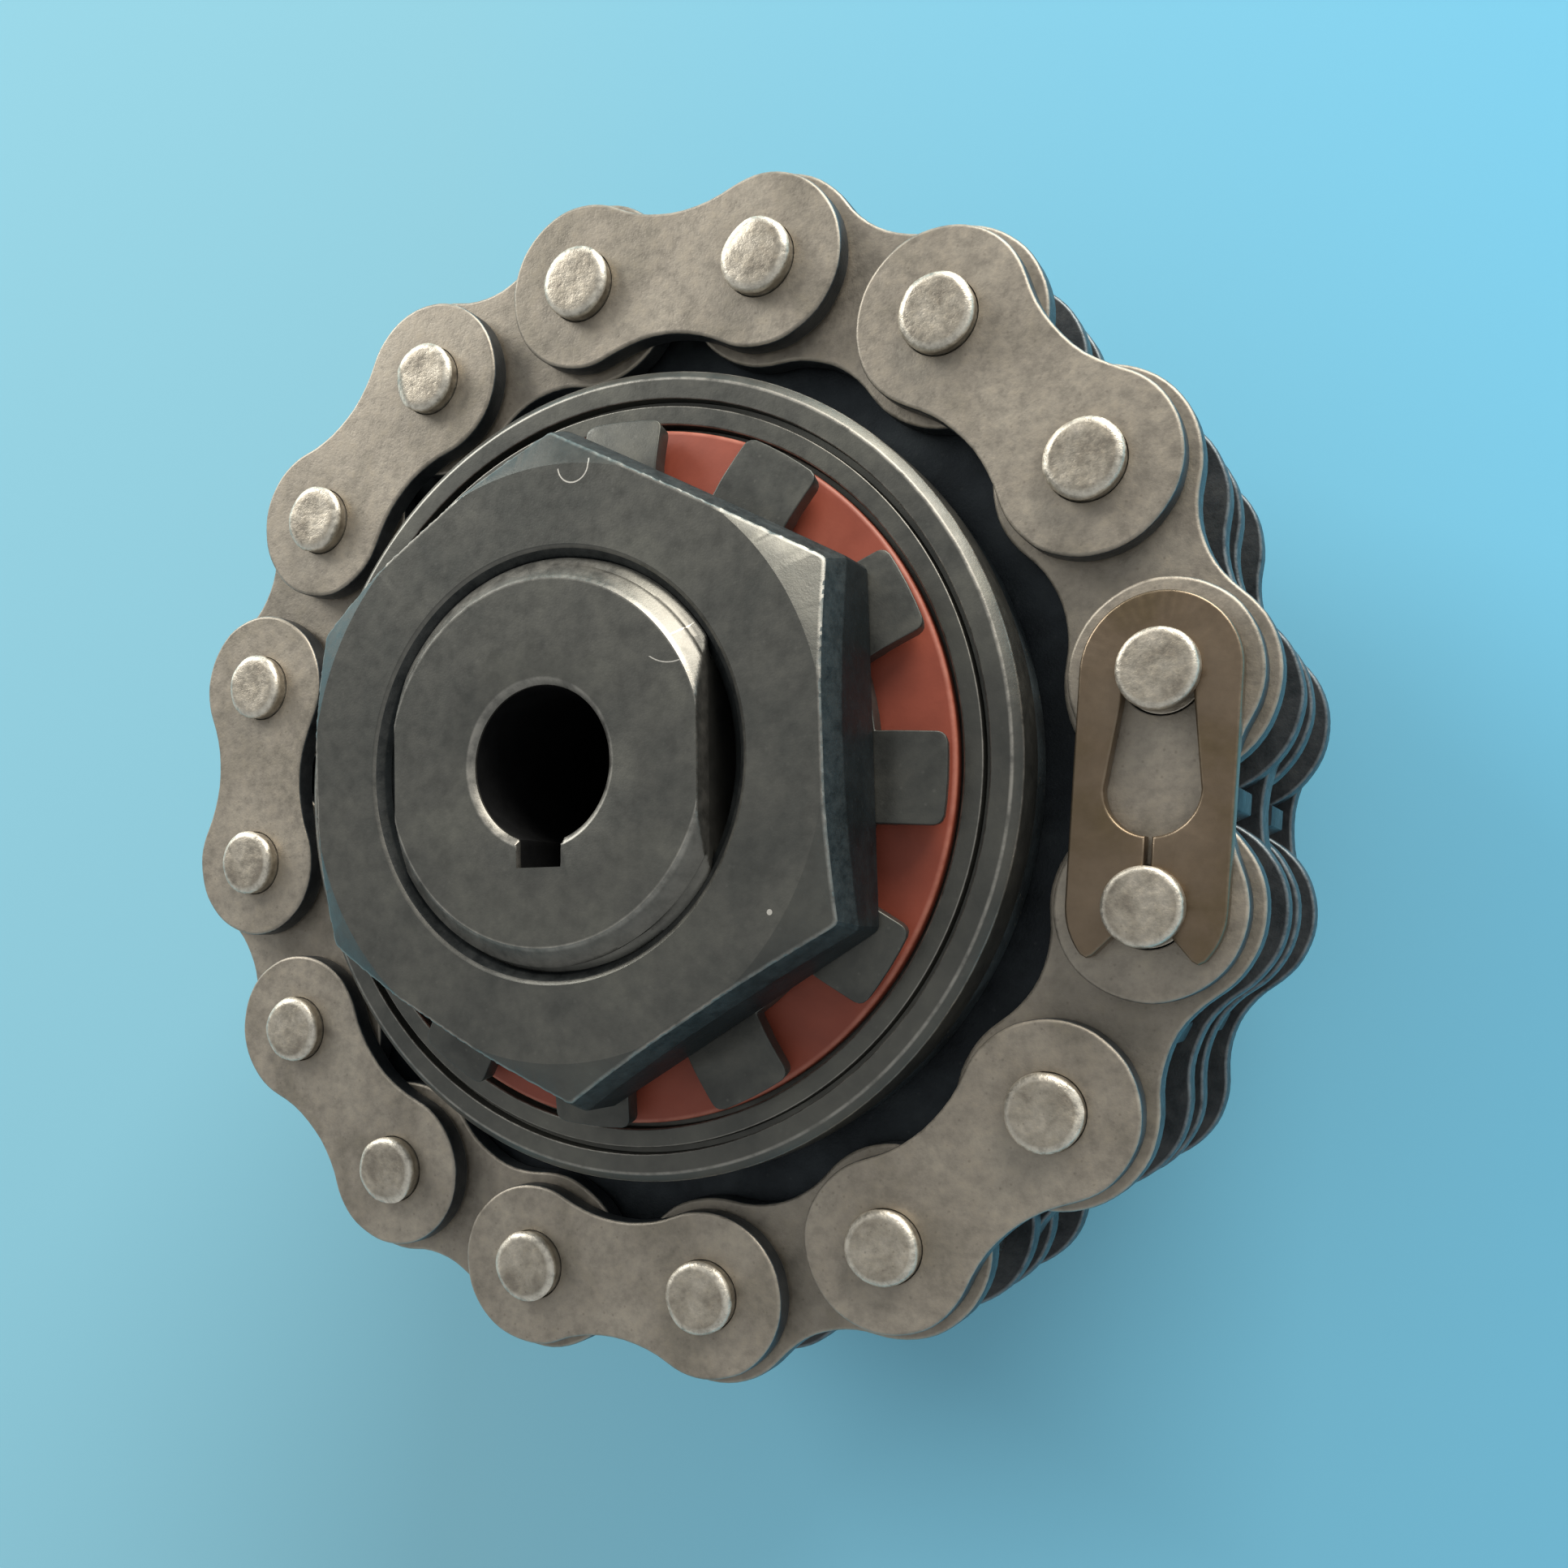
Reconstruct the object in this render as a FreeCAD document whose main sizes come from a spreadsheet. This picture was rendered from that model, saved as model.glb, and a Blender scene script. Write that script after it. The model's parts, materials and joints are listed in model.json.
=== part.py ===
import FreeCAD, Part
import math
import os
import Sketcher

# Friction torque limiter with a duplex roller-chain coupling, in millimetres.
# Z is the shaft axis. The rear boss stands on z = 0 and the adjusting nut is at the top.
# The key seat of the hub points to -Y.

os.makedirs("parts", exist_ok=True)
doc = FreeCAD.newDocument("torque_limiter")

# Driving sizes: name, value, what it measures
SIZES = (
    ("link_pairs", 8, "outer links round the coupling, as many as inner links"),
    ("chain_pitch", 12.7, "pin to pin along the chain"),
    ("chain_turn", 7.3, "degrees from +X to the first pin"),
    ("inner_width", 7.75, "between the inner plates of a strand"),
    ("inner_plate_thick", 1.6, "inner plate"),
    ("outer_plate_thick", 1.6, "outer plate"),
    ("middle_plate_thick", 2.49, "plate between the two strands"),
    ("link_gap", 0.9, "between the ends of two plates in one layer"),
    ("link_waist", 8.3, "height of a plate at its waist"),
    ("pin_diameter", 4.45, "chain pin"),
    ("pin_proud", 1.1, "pin end above an outer plate"),
    ("pin_bevel", 0.35, "bevel round a riveted pin end"),
    ("chain_bush_diameter", 6.2, "outside of a chain bush"),
    ("bush_overhang", 0.17, "bush end above its inner plate"),
    ("roller_diameter", 8.51, "chain roller"),
    ("roller_end_play", 0.12, "roller end to inner plate"),
    ("link_play", 0.14, "side play of an inner link between outer plates"),
    ("press_gap", 0.01, "radial room drawn at a press fit"),
    ("slip_gap", 0.04, "radial room at a slip fit"),
    ("clip_thick", 1.1, "spring clip"),
    ("clip_inset", 0.75, "clip edge inside the plate edge"),
    ("clip_room", 0.05, "above and below the clip in its groove"),
    ("clip_head", 0.9, "pin head above the clip"),
    ("clip_groove_depth", 0.45, "groove in a connecting pin"),
    ("clip_keyhole", 5.6, "width of the round end of the clip's opening"),
    ("clip_neck", 4.3, "width of the opening beside the closed end"),
    ("clip_keyhole_offset", 0.5, "round end past the middle of the link"),
    ("clip_slit", 0.6, "slit between the legs"),
    ("clip_mouth", 3.9, "half width of the mouth at the leg tips"),
    ("tooth_seat_room", 0.045, "radial room of a roller in its tooth gap"),
    ("tooth_seat_angle", 134.4, "degrees of the round roller seat"),
    ("tooth_flank_radius", 18.4, "radius of a tooth flank"),
    ("tooth_height", 2.95, "tooth tip above the pitch circle"),
    ("tooth_bevel_reach", 3.6, "radial length of the bevel beside the teeth"),
    ("tooth_bevel_depth", 0.95, "bevel depth at the tooth tip"),
    ("sprocket_side_room", 0.275, "sprocket to inner plate, each side"),
    ("boss_length", 18.1, "rear boss below the rear sprocket"),
    ("rear_bore", 14.0, "bore for the second shaft"),
    ("rear_key_width", 5.0, "key seat in the rear bore"),
    ("rear_key_depth", 2.3, "depth of that seat in the wall"),
    ("edge_bevel", 0.5, "bevel at turned edges"),
    ("set_screw_diameter", 5.0, "set screw"),
    ("set_screw_length", 8.0, "set screw"),
    ("set_screw_socket", 2.5, "across the flats of its hexagon socket"),
    ("set_screw_socket_depth", 2.4, "depth of that socket"),
    ("set_screw_room", 0.05, "radial room in the tapped hole"),
    ("set_screw_back", 0.7, "tip short of the key seat floor"),
    ("coupling_gap", 0.8, "rear sprocket to hub flange"),
    ("chain_clearance", 1.5, "friction discs inside the chain plates"),
    ("facing_thick", 2.5, "friction facing"),
    ("facing_inset", 0.2, "facing edge inside the flange edge"),
    ("thread_diameter", 24.0, "hub barrel and its fine thread"),
    ("thread_room", 0.05, "radial room of the nut on the barrel"),
    ("sleeve_wall", 2.95, "wall of the hub bush"),
    ("sleeve_room", 0.05, "radial running room inside and outside the bush"),
    ("sleeve_end_room", 0.3, "bush end to flange and to pressure plate"),
    ("facing_bore_room", 0.25, "facing clear of the sprocket bore"),
    ("hub_length", 29.0, "hub over its flange and barrel"),
    ("hub_bore", 9.0, "bore for the first shaft"),
    ("hub_key_width", 3.0, "key seat in the hub bore"),
    ("hub_key_depth", 1.4, "depth of that seat in the wall"),
    ("bore_bevel", 0.35, "bevel at the bore mouths"),
    ("end_bevel", 1.75, "bevel at the threaded end"),
    ("hub_flat_width", 20.2, "across the two flats of the barrel"),
    ("flat_start", 1.2, "flats start below the pressure plate"),
    ("flat_room", 0.1, "keyed pieces to the flats and to the barrel"),
    ("plate_thick", 3.5, "pressure plate at its rim"),
    ("plate_bevel", 0.4, "outer bevel of the rim"),
    ("rim_width", 2.05, "rim of the pressure plate"),
    ("groove_width", 0.4, "narrow groove inside the rim"),
    ("groove_depth", 0.9, "groove floor below the rim"),
    ("land_width", 0.95, "land between groove and spring seat"),
    ("land_drop", 0.12, "land below the rim"),
    ("spring_seat_depth", 1.2, "spring seat below the rim"),
    ("spring_play", 0.3, "radial room of the disc spring in its seat"),
    ("spring_thick", 1.1, "disc spring"),
    ("spring_cone", 1.28, "cone height left at this setting"),
    ("spring_bore_room", 0.35, "disc spring round the barrel"),
    ("washer_thick", 1.2, "lock washer"),
    ("tab_clearance", 0.2, "tab tips inside the spring seat wall"),
    ("tab_length", 4.0, "tab from root to tip"),
    ("tab_width", 5.2, "tab"),
    ("tab_count", 12, "tabs round the washer"),
    ("tab_turn", -3.5, "degrees from +X to a tab"),
    ("tab_bend", 2.9, "tip length that is bent down"),
    ("tab_drop", 0.55, "tip below the flat of the washer"),
    ("tab_corner", 0.5, "corner radius of a tab"),
    ("nut_across", 35.0, "nut across its flats"),
    ("nut_height", 6.5, "nut"),
    ("nut_turn", 1.5, "degrees from +X to a flat of the nut"),
    ("nut_face_inset", 0.35, "round face inside the flats"),
    ("nut_bevel_angle", 30.0, "degrees of the bevel on the nut's corners"),
    ("nut_countersink", 0.35, "countersink at the nut's bore"),
    ("cut_overrun", 1.0, "reach of a cut past the edge that it opens"),
)

# Sizes that follow from the driving ones, so that mating pieces change together
FITS = (
    ("link_count", "2 * Sizes.link_pairs"),
    ("link_step", "360 / link_count"),
    ("half_pitch", "Sizes.chain_pitch / 2"),
    ("pitch_radius", "half_pitch / sin(1deg * link_step / 2)"),
    ("link_offset", "half_pitch / tan(1deg * link_step / 2)"),
    ("link_end_radius", "(Sizes.chain_pitch - Sizes.link_gap) / 2"),
    ("half_waist", "Sizes.link_waist / 2"),
    ("waist_radius", "(half_pitch ^ 2 + half_waist ^ 2 - link_end_radius ^ 2)"
     " / (2 * (link_end_radius - half_waist))"),
    ("pin_radius", "Sizes.pin_diameter / 2"),
    ("pin_face_radius", "pin_radius - Sizes.pin_bevel"),
    ("press_hole", "pin_radius + Sizes.press_gap"),
    ("slip_hole", "pin_radius + Sizes.slip_gap"),
    ("chain_bush_radius", "Sizes.chain_bush_diameter / 2"),
    ("inner_plate_hole", "chain_bush_radius + Sizes.press_gap"),
    ("roller_radius", "Sizes.roller_diameter / 2"),
    ("roller_bore", "chain_bush_radius + Sizes.slip_gap"),
    ("roller_length", "Sizes.inner_width - 2 * Sizes.roller_end_play"),
    ("chain_bush_length", "Sizes.inner_width + 2 * Sizes.inner_plate_thick + 2 * Sizes.bush_overhang"),
    ("outer_width", "chain_bush_length + Sizes.link_play"),
    ("strand_pitch", "outer_width + Sizes.middle_plate_thick"),
    ("sprocket_thick", "Sizes.inner_width - 2 * Sizes.sprocket_side_room"),
    ("rear_strand", "Sizes.boss_length + sprocket_thick / 2"),
    ("front_strand", "rear_strand + strand_pitch"),
    ("rear_plate_foot", "rear_strand - outer_width / 2 - Sizes.outer_plate_thick"),
    ("middle_plate_foot", "rear_strand + outer_width / 2"),
    ("front_plate_foot", "front_strand + outer_width / 2"),
    ("front_plate_top", "front_plate_foot + Sizes.outer_plate_thick"),
    ("pin_foot", "rear_plate_foot - Sizes.pin_proud"),
    ("pin_length", "front_plate_top + Sizes.pin_proud - pin_foot"),
    ("pin_bevel_top", "pin_length - Sizes.pin_bevel"),
    ("clip_foot", "front_plate_top + Sizes.clip_room"),
    ("clip_groove_foot", "front_plate_top - pin_foot"),
    ("clip_groove_top", "clip_groove_foot + Sizes.clip_thick + 2 * Sizes.clip_room"),
    ("clip_pin_length", "clip_groove_top + Sizes.clip_head"),
    ("clip_pin_bevel_top", "clip_pin_length - Sizes.pin_bevel"),
    ("clip_groove_radius", "pin_radius - Sizes.clip_groove_depth"),
    ("clip_seat_radius", "clip_groove_radius + Sizes.clip_room"),
    ("clip_radius", "link_end_radius - Sizes.clip_inset"),
    ("clip_keyhole_radius", "Sizes.clip_keyhole / 2"),
    ("clip_keyhole_centre", "-Sizes.clip_keyhole_offset"),
    ("clip_half_neck", "Sizes.clip_neck / 2"),
    ("clip_half_slit", "Sizes.clip_slit / 2"),
    ("clip_neck_top", "half_pitch - clip_seat_radius / 2"),
    ("clip_leg_end", "half_pitch + clip_radius"),
    ("clip_mouth_foot", "half_pitch + clip_seat_radius / 2"),
    ("clip_mouth_half", "clip_seat_radius / 2"),
    ("tooth_seat_radius", "roller_radius + Sizes.tooth_seat_room"),
    ("half_seat_angle", "Sizes.tooth_seat_angle / 2"),
    ("seat_end_in", "pitch_radius - tooth_seat_radius * cos(1deg * half_seat_angle)"),
    ("seat_end_side", "tooth_seat_radius * sin(1deg * half_seat_angle)"),
    ("tooth_tip_radius", "pitch_radius + Sizes.tooth_height"),
    ("tooth_gap_mouth", "tooth_tip_radius + Sizes.cut_overrun"),
    ("tooth_bevel_radius", "tooth_tip_radius - Sizes.tooth_bevel_reach"),
    ("front_bevel_top", "sprocket_thick - Sizes.tooth_bevel_depth"),
    ("disc_radius", "pitch_radius - link_end_radius - Sizes.chain_clearance"),
    ("rear_length", "Sizes.boss_length + sprocket_thick"),
    ("rear_bevel_low", "Sizes.boss_length + Sizes.tooth_bevel_depth"),
    ("rear_bevel_top", "rear_length - Sizes.tooth_bevel_depth"),
    ("rear_bore_radius", "Sizes.rear_bore / 2"),
    ("rear_bore_mouth", "rear_bore_radius + Sizes.edge_bevel"),
    ("rear_mouth_top", "rear_length - Sizes.edge_bevel"),
    ("boss_face_radius", "disc_radius - Sizes.edge_bevel"),
    ("rear_half_key", "Sizes.rear_key_width / 2"),
    ("rear_key_floor", "rear_bore_radius + Sizes.rear_key_depth"),
    ("screw_radius", "Sizes.set_screw_diameter / 2"),
    ("screw_hole_radius", "screw_radius + Sizes.set_screw_room"),
    ("screw_height", "Sizes.boss_length / 2"),
    ("screw_tip_radius", "rear_key_floor + Sizes.set_screw_back"),
    ("screw_face_radius", "screw_radius - Sizes.edge_bevel"),
    ("screw_bevel_top", "Sizes.set_screw_length - Sizes.edge_bevel"),
    ("socket_half", "Sizes.set_screw_socket / 2"),
    ("socket_corner", "Sizes.set_screw_socket / sqrt(3)"),
    ("socket_half_side", "socket_corner / 2"),
    ("hub_foot", "rear_length + Sizes.coupling_gap"),
    ("flange_thick", "strand_pitch - sprocket_thick - Sizes.facing_thick - Sizes.coupling_gap"),
    ("flange_face_radius", "disc_radius - Sizes.edge_bevel"),
    ("facing_radius", "disc_radius - Sizes.facing_inset"),
    ("barrel_radius", "Sizes.thread_diameter / 2"),
    ("sleeve_bore", "barrel_radius + Sizes.sleeve_room"),
    ("sleeve_radius", "sleeve_bore + Sizes.sleeve_wall"),
    ("driven_bore", "sleeve_radius + Sizes.sleeve_room"),
    ("facing_bore", "driven_bore + Sizes.facing_bore_room"),
    ("rear_facing_foot", "hub_foot + flange_thick"),
    ("driven_foot", "rear_facing_foot + Sizes.facing_thick"),
    ("front_facing_foot", "driven_foot + sprocket_thick"),
    ("plate_foot", "front_facing_foot + Sizes.facing_thick"),
    ("sleeve_foot", "rear_facing_foot + Sizes.sleeve_end_room"),
    ("sleeve_length", "plate_foot - rear_facing_foot - 2 * Sizes.sleeve_end_room"),
    ("hub_bore_radius", "Sizes.hub_bore / 2"),
    ("hub_bore_mouth", "hub_bore_radius + Sizes.bore_bevel"),
    ("hub_mouth_top", "Sizes.hub_length - Sizes.bore_bevel"),
    ("end_face_radius", "barrel_radius - Sizes.end_bevel"),
    ("end_bevel_foot", "Sizes.hub_length - Sizes.end_bevel"),
    ("hub_half_key", "Sizes.hub_key_width / 2"),
    ("hub_key_floor", "hub_bore_radius + Sizes.hub_key_depth"),
    ("hub_half_flat", "Sizes.hub_flat_width / 2"),
    ("hub_flat_foot", "plate_foot - hub_foot - Sizes.flat_start"),
    ("past_hub_end", "Sizes.hub_length + Sizes.cut_overrun"),
    ("keyed_flat", "hub_half_flat + Sizes.flat_room"),
    ("keyed_bore", "barrel_radius + Sizes.flat_room"),
    ("keyed_flat_side", "sqrt(keyed_bore ^ 2 - keyed_flat ^ 2)"),
    ("plate_bevel_foot", "Sizes.plate_thick - Sizes.plate_bevel"),
    ("plate_rim_edge", "disc_radius - Sizes.plate_bevel"),
    ("groove_outer", "disc_radius - Sizes.rim_width"),
    ("groove_inner", "groove_outer - Sizes.groove_width"),
    ("groove_floor", "Sizes.plate_thick - Sizes.groove_depth"),
    ("seat_radius", "groove_inner - Sizes.land_width"),
    ("land_top", "Sizes.plate_thick - Sizes.land_drop"),
    ("seat_top", "Sizes.plate_thick - Sizes.spring_seat_depth"),
    ("spring_radius", "seat_radius - Sizes.spring_play"),
    ("spring_bore", "barrel_radius + Sizes.spring_bore_room"),
    ("spring_height", "Sizes.spring_thick + Sizes.spring_cone"),
    ("spring_foot", "plate_foot + seat_top"),
    ("washer_foot", "spring_foot + spring_height"),
    ("tab_radius", "seat_radius - Sizes.tab_clearance"),
    ("tab_bend_radius", "tab_radius - Sizes.tab_bend"),
    ("tab_root_radius", "tab_radius - Sizes.tab_length"),
    ("tab_tip_top", "Sizes.washer_thick - Sizes.tab_drop"),
    ("half_tab", "Sizes.tab_width / 2"),
    ("half_tab_step", "180 / Sizes.tab_count"),
    ("gap_root_run", "sqrt(tab_root_radius ^ 2 - half_tab ^ 2)"),
    ("gap_mouth_run", "tab_radius + Sizes.cut_overrun"),
    ("gap_root_in", "gap_root_run * cos(1deg * half_tab_step) + half_tab * sin(1deg * half_tab_step)"),
    ("gap_root_side", "gap_root_run * sin(1deg * half_tab_step) - half_tab * cos(1deg * half_tab_step)"),
    ("gap_mouth_in", "gap_mouth_run * cos(1deg * half_tab_step) + half_tab * sin(1deg * half_tab_step)"),
    ("gap_mouth_side", "gap_mouth_run * sin(1deg * half_tab_step) - half_tab * cos(1deg * half_tab_step)"),
    ("nut_foot", "washer_foot + Sizes.washer_thick"),
    ("nut_half", "Sizes.nut_across / 2"),
    ("nut_corner", "Sizes.nut_across / sqrt(3)"),
    ("nut_half_side", "nut_corner / 2"),
    ("nut_face_radius", "nut_half - Sizes.nut_face_inset"),
    ("past_nut_corner", "nut_corner + Sizes.cut_overrun"),
    ("nut_bevel_foot", "Sizes.nut_height"
     " - (past_nut_corner - nut_face_radius) * tan(1deg * Sizes.nut_bevel_angle)"),
    ("nut_bore", "barrel_radius + Sizes.thread_room"),
    ("nut_bore_mouth", "nut_bore + Sizes.nut_countersink"),
    ("nut_mouth_top", "Sizes.nut_height - Sizes.nut_countersink"),
)


def write_sizes():
    """Put the driving sizes in a sheet and bind the sizes that follow to it."""
    table = doc.addObject("Spreadsheet::Sheet", "Sizes")
    for row, (name, number, meaning) in enumerate(SIZES, start=1):
        table.set(f"A{row}", name)
        table.set(f"B{row}", str(number))
        table.setAlias(f"B{row}", name)
        table.set(f"C{row}", meaning)
    doc.recompute()
    follow = doc.addObject("App::VarSet", "Fits")
    for name, formula in FITS:
        follow.addProperty("App::PropertyFloat", name, "Fits")
        follow.setExpression(name, formula)
    doc.recompute()
    return table, follow


sizes, fits = write_sizes()


def source(name):
    """Say where a named size is kept, for an expression."""
    if name.startswith("-"):
        return "-" + source(name[1:])
    return f"Fits.{name}" if hasattr(fits, name) else f"Sizes.{name}"


def size(name):
    """Give the number of a named size. A leading minus sign turns it round."""
    if name.startswith("-"):
        return -size(name[1:])
    owner = fits if hasattr(fits, name) else sizes
    return float(getattr(owner, name))


# Sketch helpers: every coordinate and radius is a named size or zero

ORIGIN = (-1, 1)
SMALLEST_CUT = 0.001


def new_body(label):
    body = doc.addObject("PartDesign::Body", label)
    body.Label = label
    return body


def new_sketch(body, plane, label, turn=0.0):
    """Open a sketch on one of the body's own planes, turned about the plane's normal."""
    sketch = body.newObject("Sketcher::SketchObject", f"{body.Label}_{label}")
    role = f"{plane}_Plane"
    support = [feature for feature in body.Origin.OriginFeatures if feature.Role == role][0]
    sketch.AttachmentSupport = (support, [""])
    sketch.MapMode = "FlatFace"
    turned = FreeCAD.Rotation(FreeCAD.Vector(0, 0, 1), turn)
    sketch.AttachmentOffset = FreeCAD.Placement(FreeCAD.Vector(), turned)
    return sketch


def pin_point(sketch, geometry, point, across, up):
    """Fix a point of the sketch at two named distances from the origin."""
    for kind, name in (("DistanceX", across), ("DistanceY", up)):
        if name == 0:
            sketch.addConstraint(Sketcher.Constraint(kind, *ORIGIN, geometry, point, 0.0))
        else:
            rule = Sketcher.Constraint(kind, *ORIGIN, geometry, point, size(name))
            number = sketch.addConstraint(rule)
            sketch.setExpression(f"Constraints[{number}]", source(name))


def bind_radius(sketch, geometry, name):
    number = sketch.addConstraint(Sketcher.Constraint("Radius", geometry, size(name)))
    sketch.setExpression(f"Constraints[{number}]", source(name))


def coordinate(name):
    return 0.0 if name == 0 else size(name)


def outline(sketch, corners):
    """Draw a closed outline of straight lines through named corners."""
    points = [FreeCAD.Vector(coordinate(across), coordinate(up), 0) for across, up in corners]
    first = sketch.GeometryCount
    for start, end in zip(points, points[1:] + points[:1]):
        sketch.addGeometry(Part.LineSegment(start, end))
    for number, (across, up) in enumerate(corners):
        line = first + number
        line_before = first + (number - 1) % len(corners)
        sketch.addConstraint(Sketcher.Constraint("Coincident", line_before, 2, line, 1))
        pin_point(sketch, line, 1, across, up)


def circle(sketch, radius, across=0, up=0):
    centre = FreeCAD.Vector(coordinate(across), coordinate(up), 0)
    ring = sketch.addGeometry(Part.Circle(centre, FreeCAD.Vector(0, 0, 1), size(radius)))
    pin_point(sketch, ring, 3, across, up)
    bind_radius(sketch, ring, radius)


def arc(sketch, centre, radius, start, end):
    """Add an arc, counter-clockwise from start to end in degrees."""
    ring = Part.Circle(FreeCAD.Vector(*centre, 0), FreeCAD.Vector(0, 0, 1), radius)
    return sketch.addGeometry(Part.ArcOfCircle(ring, math.radians(start), math.radians(end)))


def hexagon(sketch, half_flat, half_side, corner):
    """Draw a hexagon with a flat towards +X."""
    outline(sketch, (
        (half_flat, f"-{half_side}"), (half_flat, half_side), (0, corner),
        (f"-{half_flat}", half_side), (f"-{half_flat}", f"-{half_side}"), (0, f"-{corner}"),
    ))


def keyed_hole(sketch):
    """Draw the round hole with two flats that slides on the hub barrel."""
    radius = size("keyed_bore")
    half_angle = math.degrees(math.atan2(size("keyed_flat_side"), size("keyed_flat")))
    top = arc(sketch, (0, 0), radius, half_angle, 180 - half_angle)
    foot = arc(sketch, (0, 0), radius, 180 + half_angle, 360 - half_angle)
    left = sketch.addGeometry(Part.LineSegment(sketch.getPoint(top, 2), sketch.getPoint(foot, 1)))
    right = sketch.addGeometry(Part.LineSegment(sketch.getPoint(foot, 2), sketch.getPoint(top, 1)))
    for ring in (top, foot):
        sketch.addConstraint(Sketcher.Constraint("Coincident", ring, 3, *ORIGIN))
    for joint in ((top, 2, left, 1), (left, 2, foot, 1), (foot, 2, right, 1), (right, 2, top, 1)):
        sketch.addConstraint(Sketcher.Constraint("Coincident", *joint))
    bind_radius(sketch, top, "keyed_bore")
    bind_radius(sketch, foot, "keyed_bore")
    for line in (left, right):
        sketch.addConstraint(Sketcher.Constraint("Vertical", line))
    for line, name in ((left, "-keyed_flat"), (right, "keyed_flat")):
        number = sketch.addConstraint(Sketcher.Constraint("DistanceX", *ORIGIN, line, 1, size(name)))
        sketch.setExpression(f"Constraints[{number}]", source(name))


# Feature helpers

def pad(body, sketch, length):
    feature = body.newObject("PartDesign::Pad", f"{sketch.Name}_pad")
    feature.Profile = sketch
    feature.setExpression("Length", source(length))
    return feature


def revolve(body, sketch):
    feature = body.newObject("PartDesign::Revolution", f"{sketch.Name}_turned")
    feature.Profile = sketch
    feature.ReferenceAxis = (sketch, ["V_Axis"])
    feature.Angle = 360.0
    return feature


def groove(body, sketch):
    feature = body.newObject("PartDesign::Groove", f"{sketch.Name}_groove")
    feature.Profile = sketch
    feature.ReferenceAxis = (sketch, ["V_Axis"])
    feature.Angle = 360.0
    return feature


def pocket(body, sketch, side="One side", backwards=False):
    """Cut the sketch through everything on one side of its plane, or on both."""
    feature = body.newObject("PartDesign::Pocket", f"{sketch.Name}_pocket")
    feature.Profile = sketch
    feature.SideType = side
    feature.Type = "ThroughAll"
    feature.Reversed = backwards
    return feature


def blind_pocket(body, sketch, depth, backwards=False):
    feature = body.newObject("PartDesign::Pocket", f"{sketch.Name}_pocket")
    feature.Profile = sketch
    feature.Reversed = backwards
    feature.setExpression("Length", source(depth))
    return feature


def repeat_round(body, sketch, feature, count):
    """Repeat a cut round the shaft axis."""
    pattern = body.newObject("PartDesign::PolarPattern", f"{feature.Name}_pattern")
    pattern.Originals = [feature]
    pattern.Axis = (sketch, ["N_Axis"])
    pattern.Angle = 360.0
    pattern.setExpression("Occurrences", source(count))
    body.Tip = pattern
    return pattern


def stand(body, foot, turn=None):
    """Put a finished body at its height on the shaft axis, turned by a named angle."""
    angle = size(turn) if turn else 0.0
    turned = FreeCAD.Rotation(FreeCAD.Vector(0, 0, 1), angle)
    body.Placement = FreeCAD.Placement(FreeCAD.Vector(0, 0, size(foot) if foot else 0.0), turned)
    if foot:
        body.setExpression("Placement.Base.z", source(foot))
    if turn:
        body.setExpression("Placement.Rotation.Angle", source(turn))


def ring(label, outside, inside, length):
    body = new_body(label)
    section = new_sketch(body, "XY", "section")
    circle(section, outside)
    circle(section, inside)
    pad(body, section, length)
    return body


# Friction discs, hub and adjusting parts

def make_hub():
    """Flanged hub, turned in one piece, with two flats along the threaded barrel."""
    hub = new_body("hub")
    half_section = new_sketch(hub, "XZ", "half_section")
    outline(half_section, (
        ("hub_bore_mouth", 0), ("flange_face_radius", 0), ("disc_radius", "edge_bevel"),
        ("disc_radius", "flange_thick"), ("barrel_radius", "flange_thick"),
        ("barrel_radius", "end_bevel_foot"), ("end_face_radius", "hub_length"),
        ("hub_bore_mouth", "hub_length"), ("hub_bore_radius", "hub_mouth_top"),
        ("hub_bore_radius", "bore_bevel"),
    ))
    revolve(hub, half_section)
    flats = new_sketch(hub, "XZ", "flats")
    for side in ("", "-"):
        outline(flats, (
            (f"{side}hub_half_flat", "hub_flat_foot"), (f"{side}disc_radius", "hub_flat_foot"),
            (f"{side}disc_radius", "past_hub_end"), (f"{side}hub_half_flat", "past_hub_end"),
        ))
    pocket(hub, flats, side="Symmetric")
    key_seat = new_sketch(hub, "XY", "key_seat")
    outline(key_seat, (
        ("-hub_half_key", 0), ("-hub_half_key", "-hub_key_floor"),
        ("hub_half_key", "-hub_key_floor"), ("hub_half_key", 0),
    ))
    pocket(hub, key_seat, backwards=True)
    stand(hub, "hub_foot")
    return hub


def make_pressure_plate():
    """Plate with a beaded rim, a narrow groove and the sunk seat of the disc spring."""
    plate = new_body("pressure_plate")
    half_section = new_sketch(plate, "XZ", "half_section")
    outline(half_section, (
        ("keyed_flat", 0), ("disc_radius", 0), ("disc_radius", "plate_bevel_foot"),
        ("plate_rim_edge", "plate_thick"), ("groove_outer", "plate_thick"),
        ("groove_outer", "groove_floor"), ("groove_inner", "groove_floor"),
        ("groove_inner", "land_top"), ("seat_radius", "land_top"),
        ("seat_radius", "seat_top"), ("keyed_flat", "seat_top"),
    ))
    revolve(plate, half_section)
    hole = new_sketch(plate, "XY", "keyed_hole")
    keyed_hole(hole)
    pocket(plate, hole, backwards=True)
    stand(plate, "plate_foot")
    return plate


def make_disc_spring():
    spring = new_body("disc_spring")
    half_section = new_sketch(spring, "XZ", "half_section")
    outline(half_section, (
        ("spring_radius", 0), ("spring_radius", "spring_thick"),
        ("spring_bore", "spring_height"), ("spring_bore", "spring_cone"),
    ))
    revolve(spring, half_section)
    stand(spring, "spring_foot")
    return spring


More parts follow.
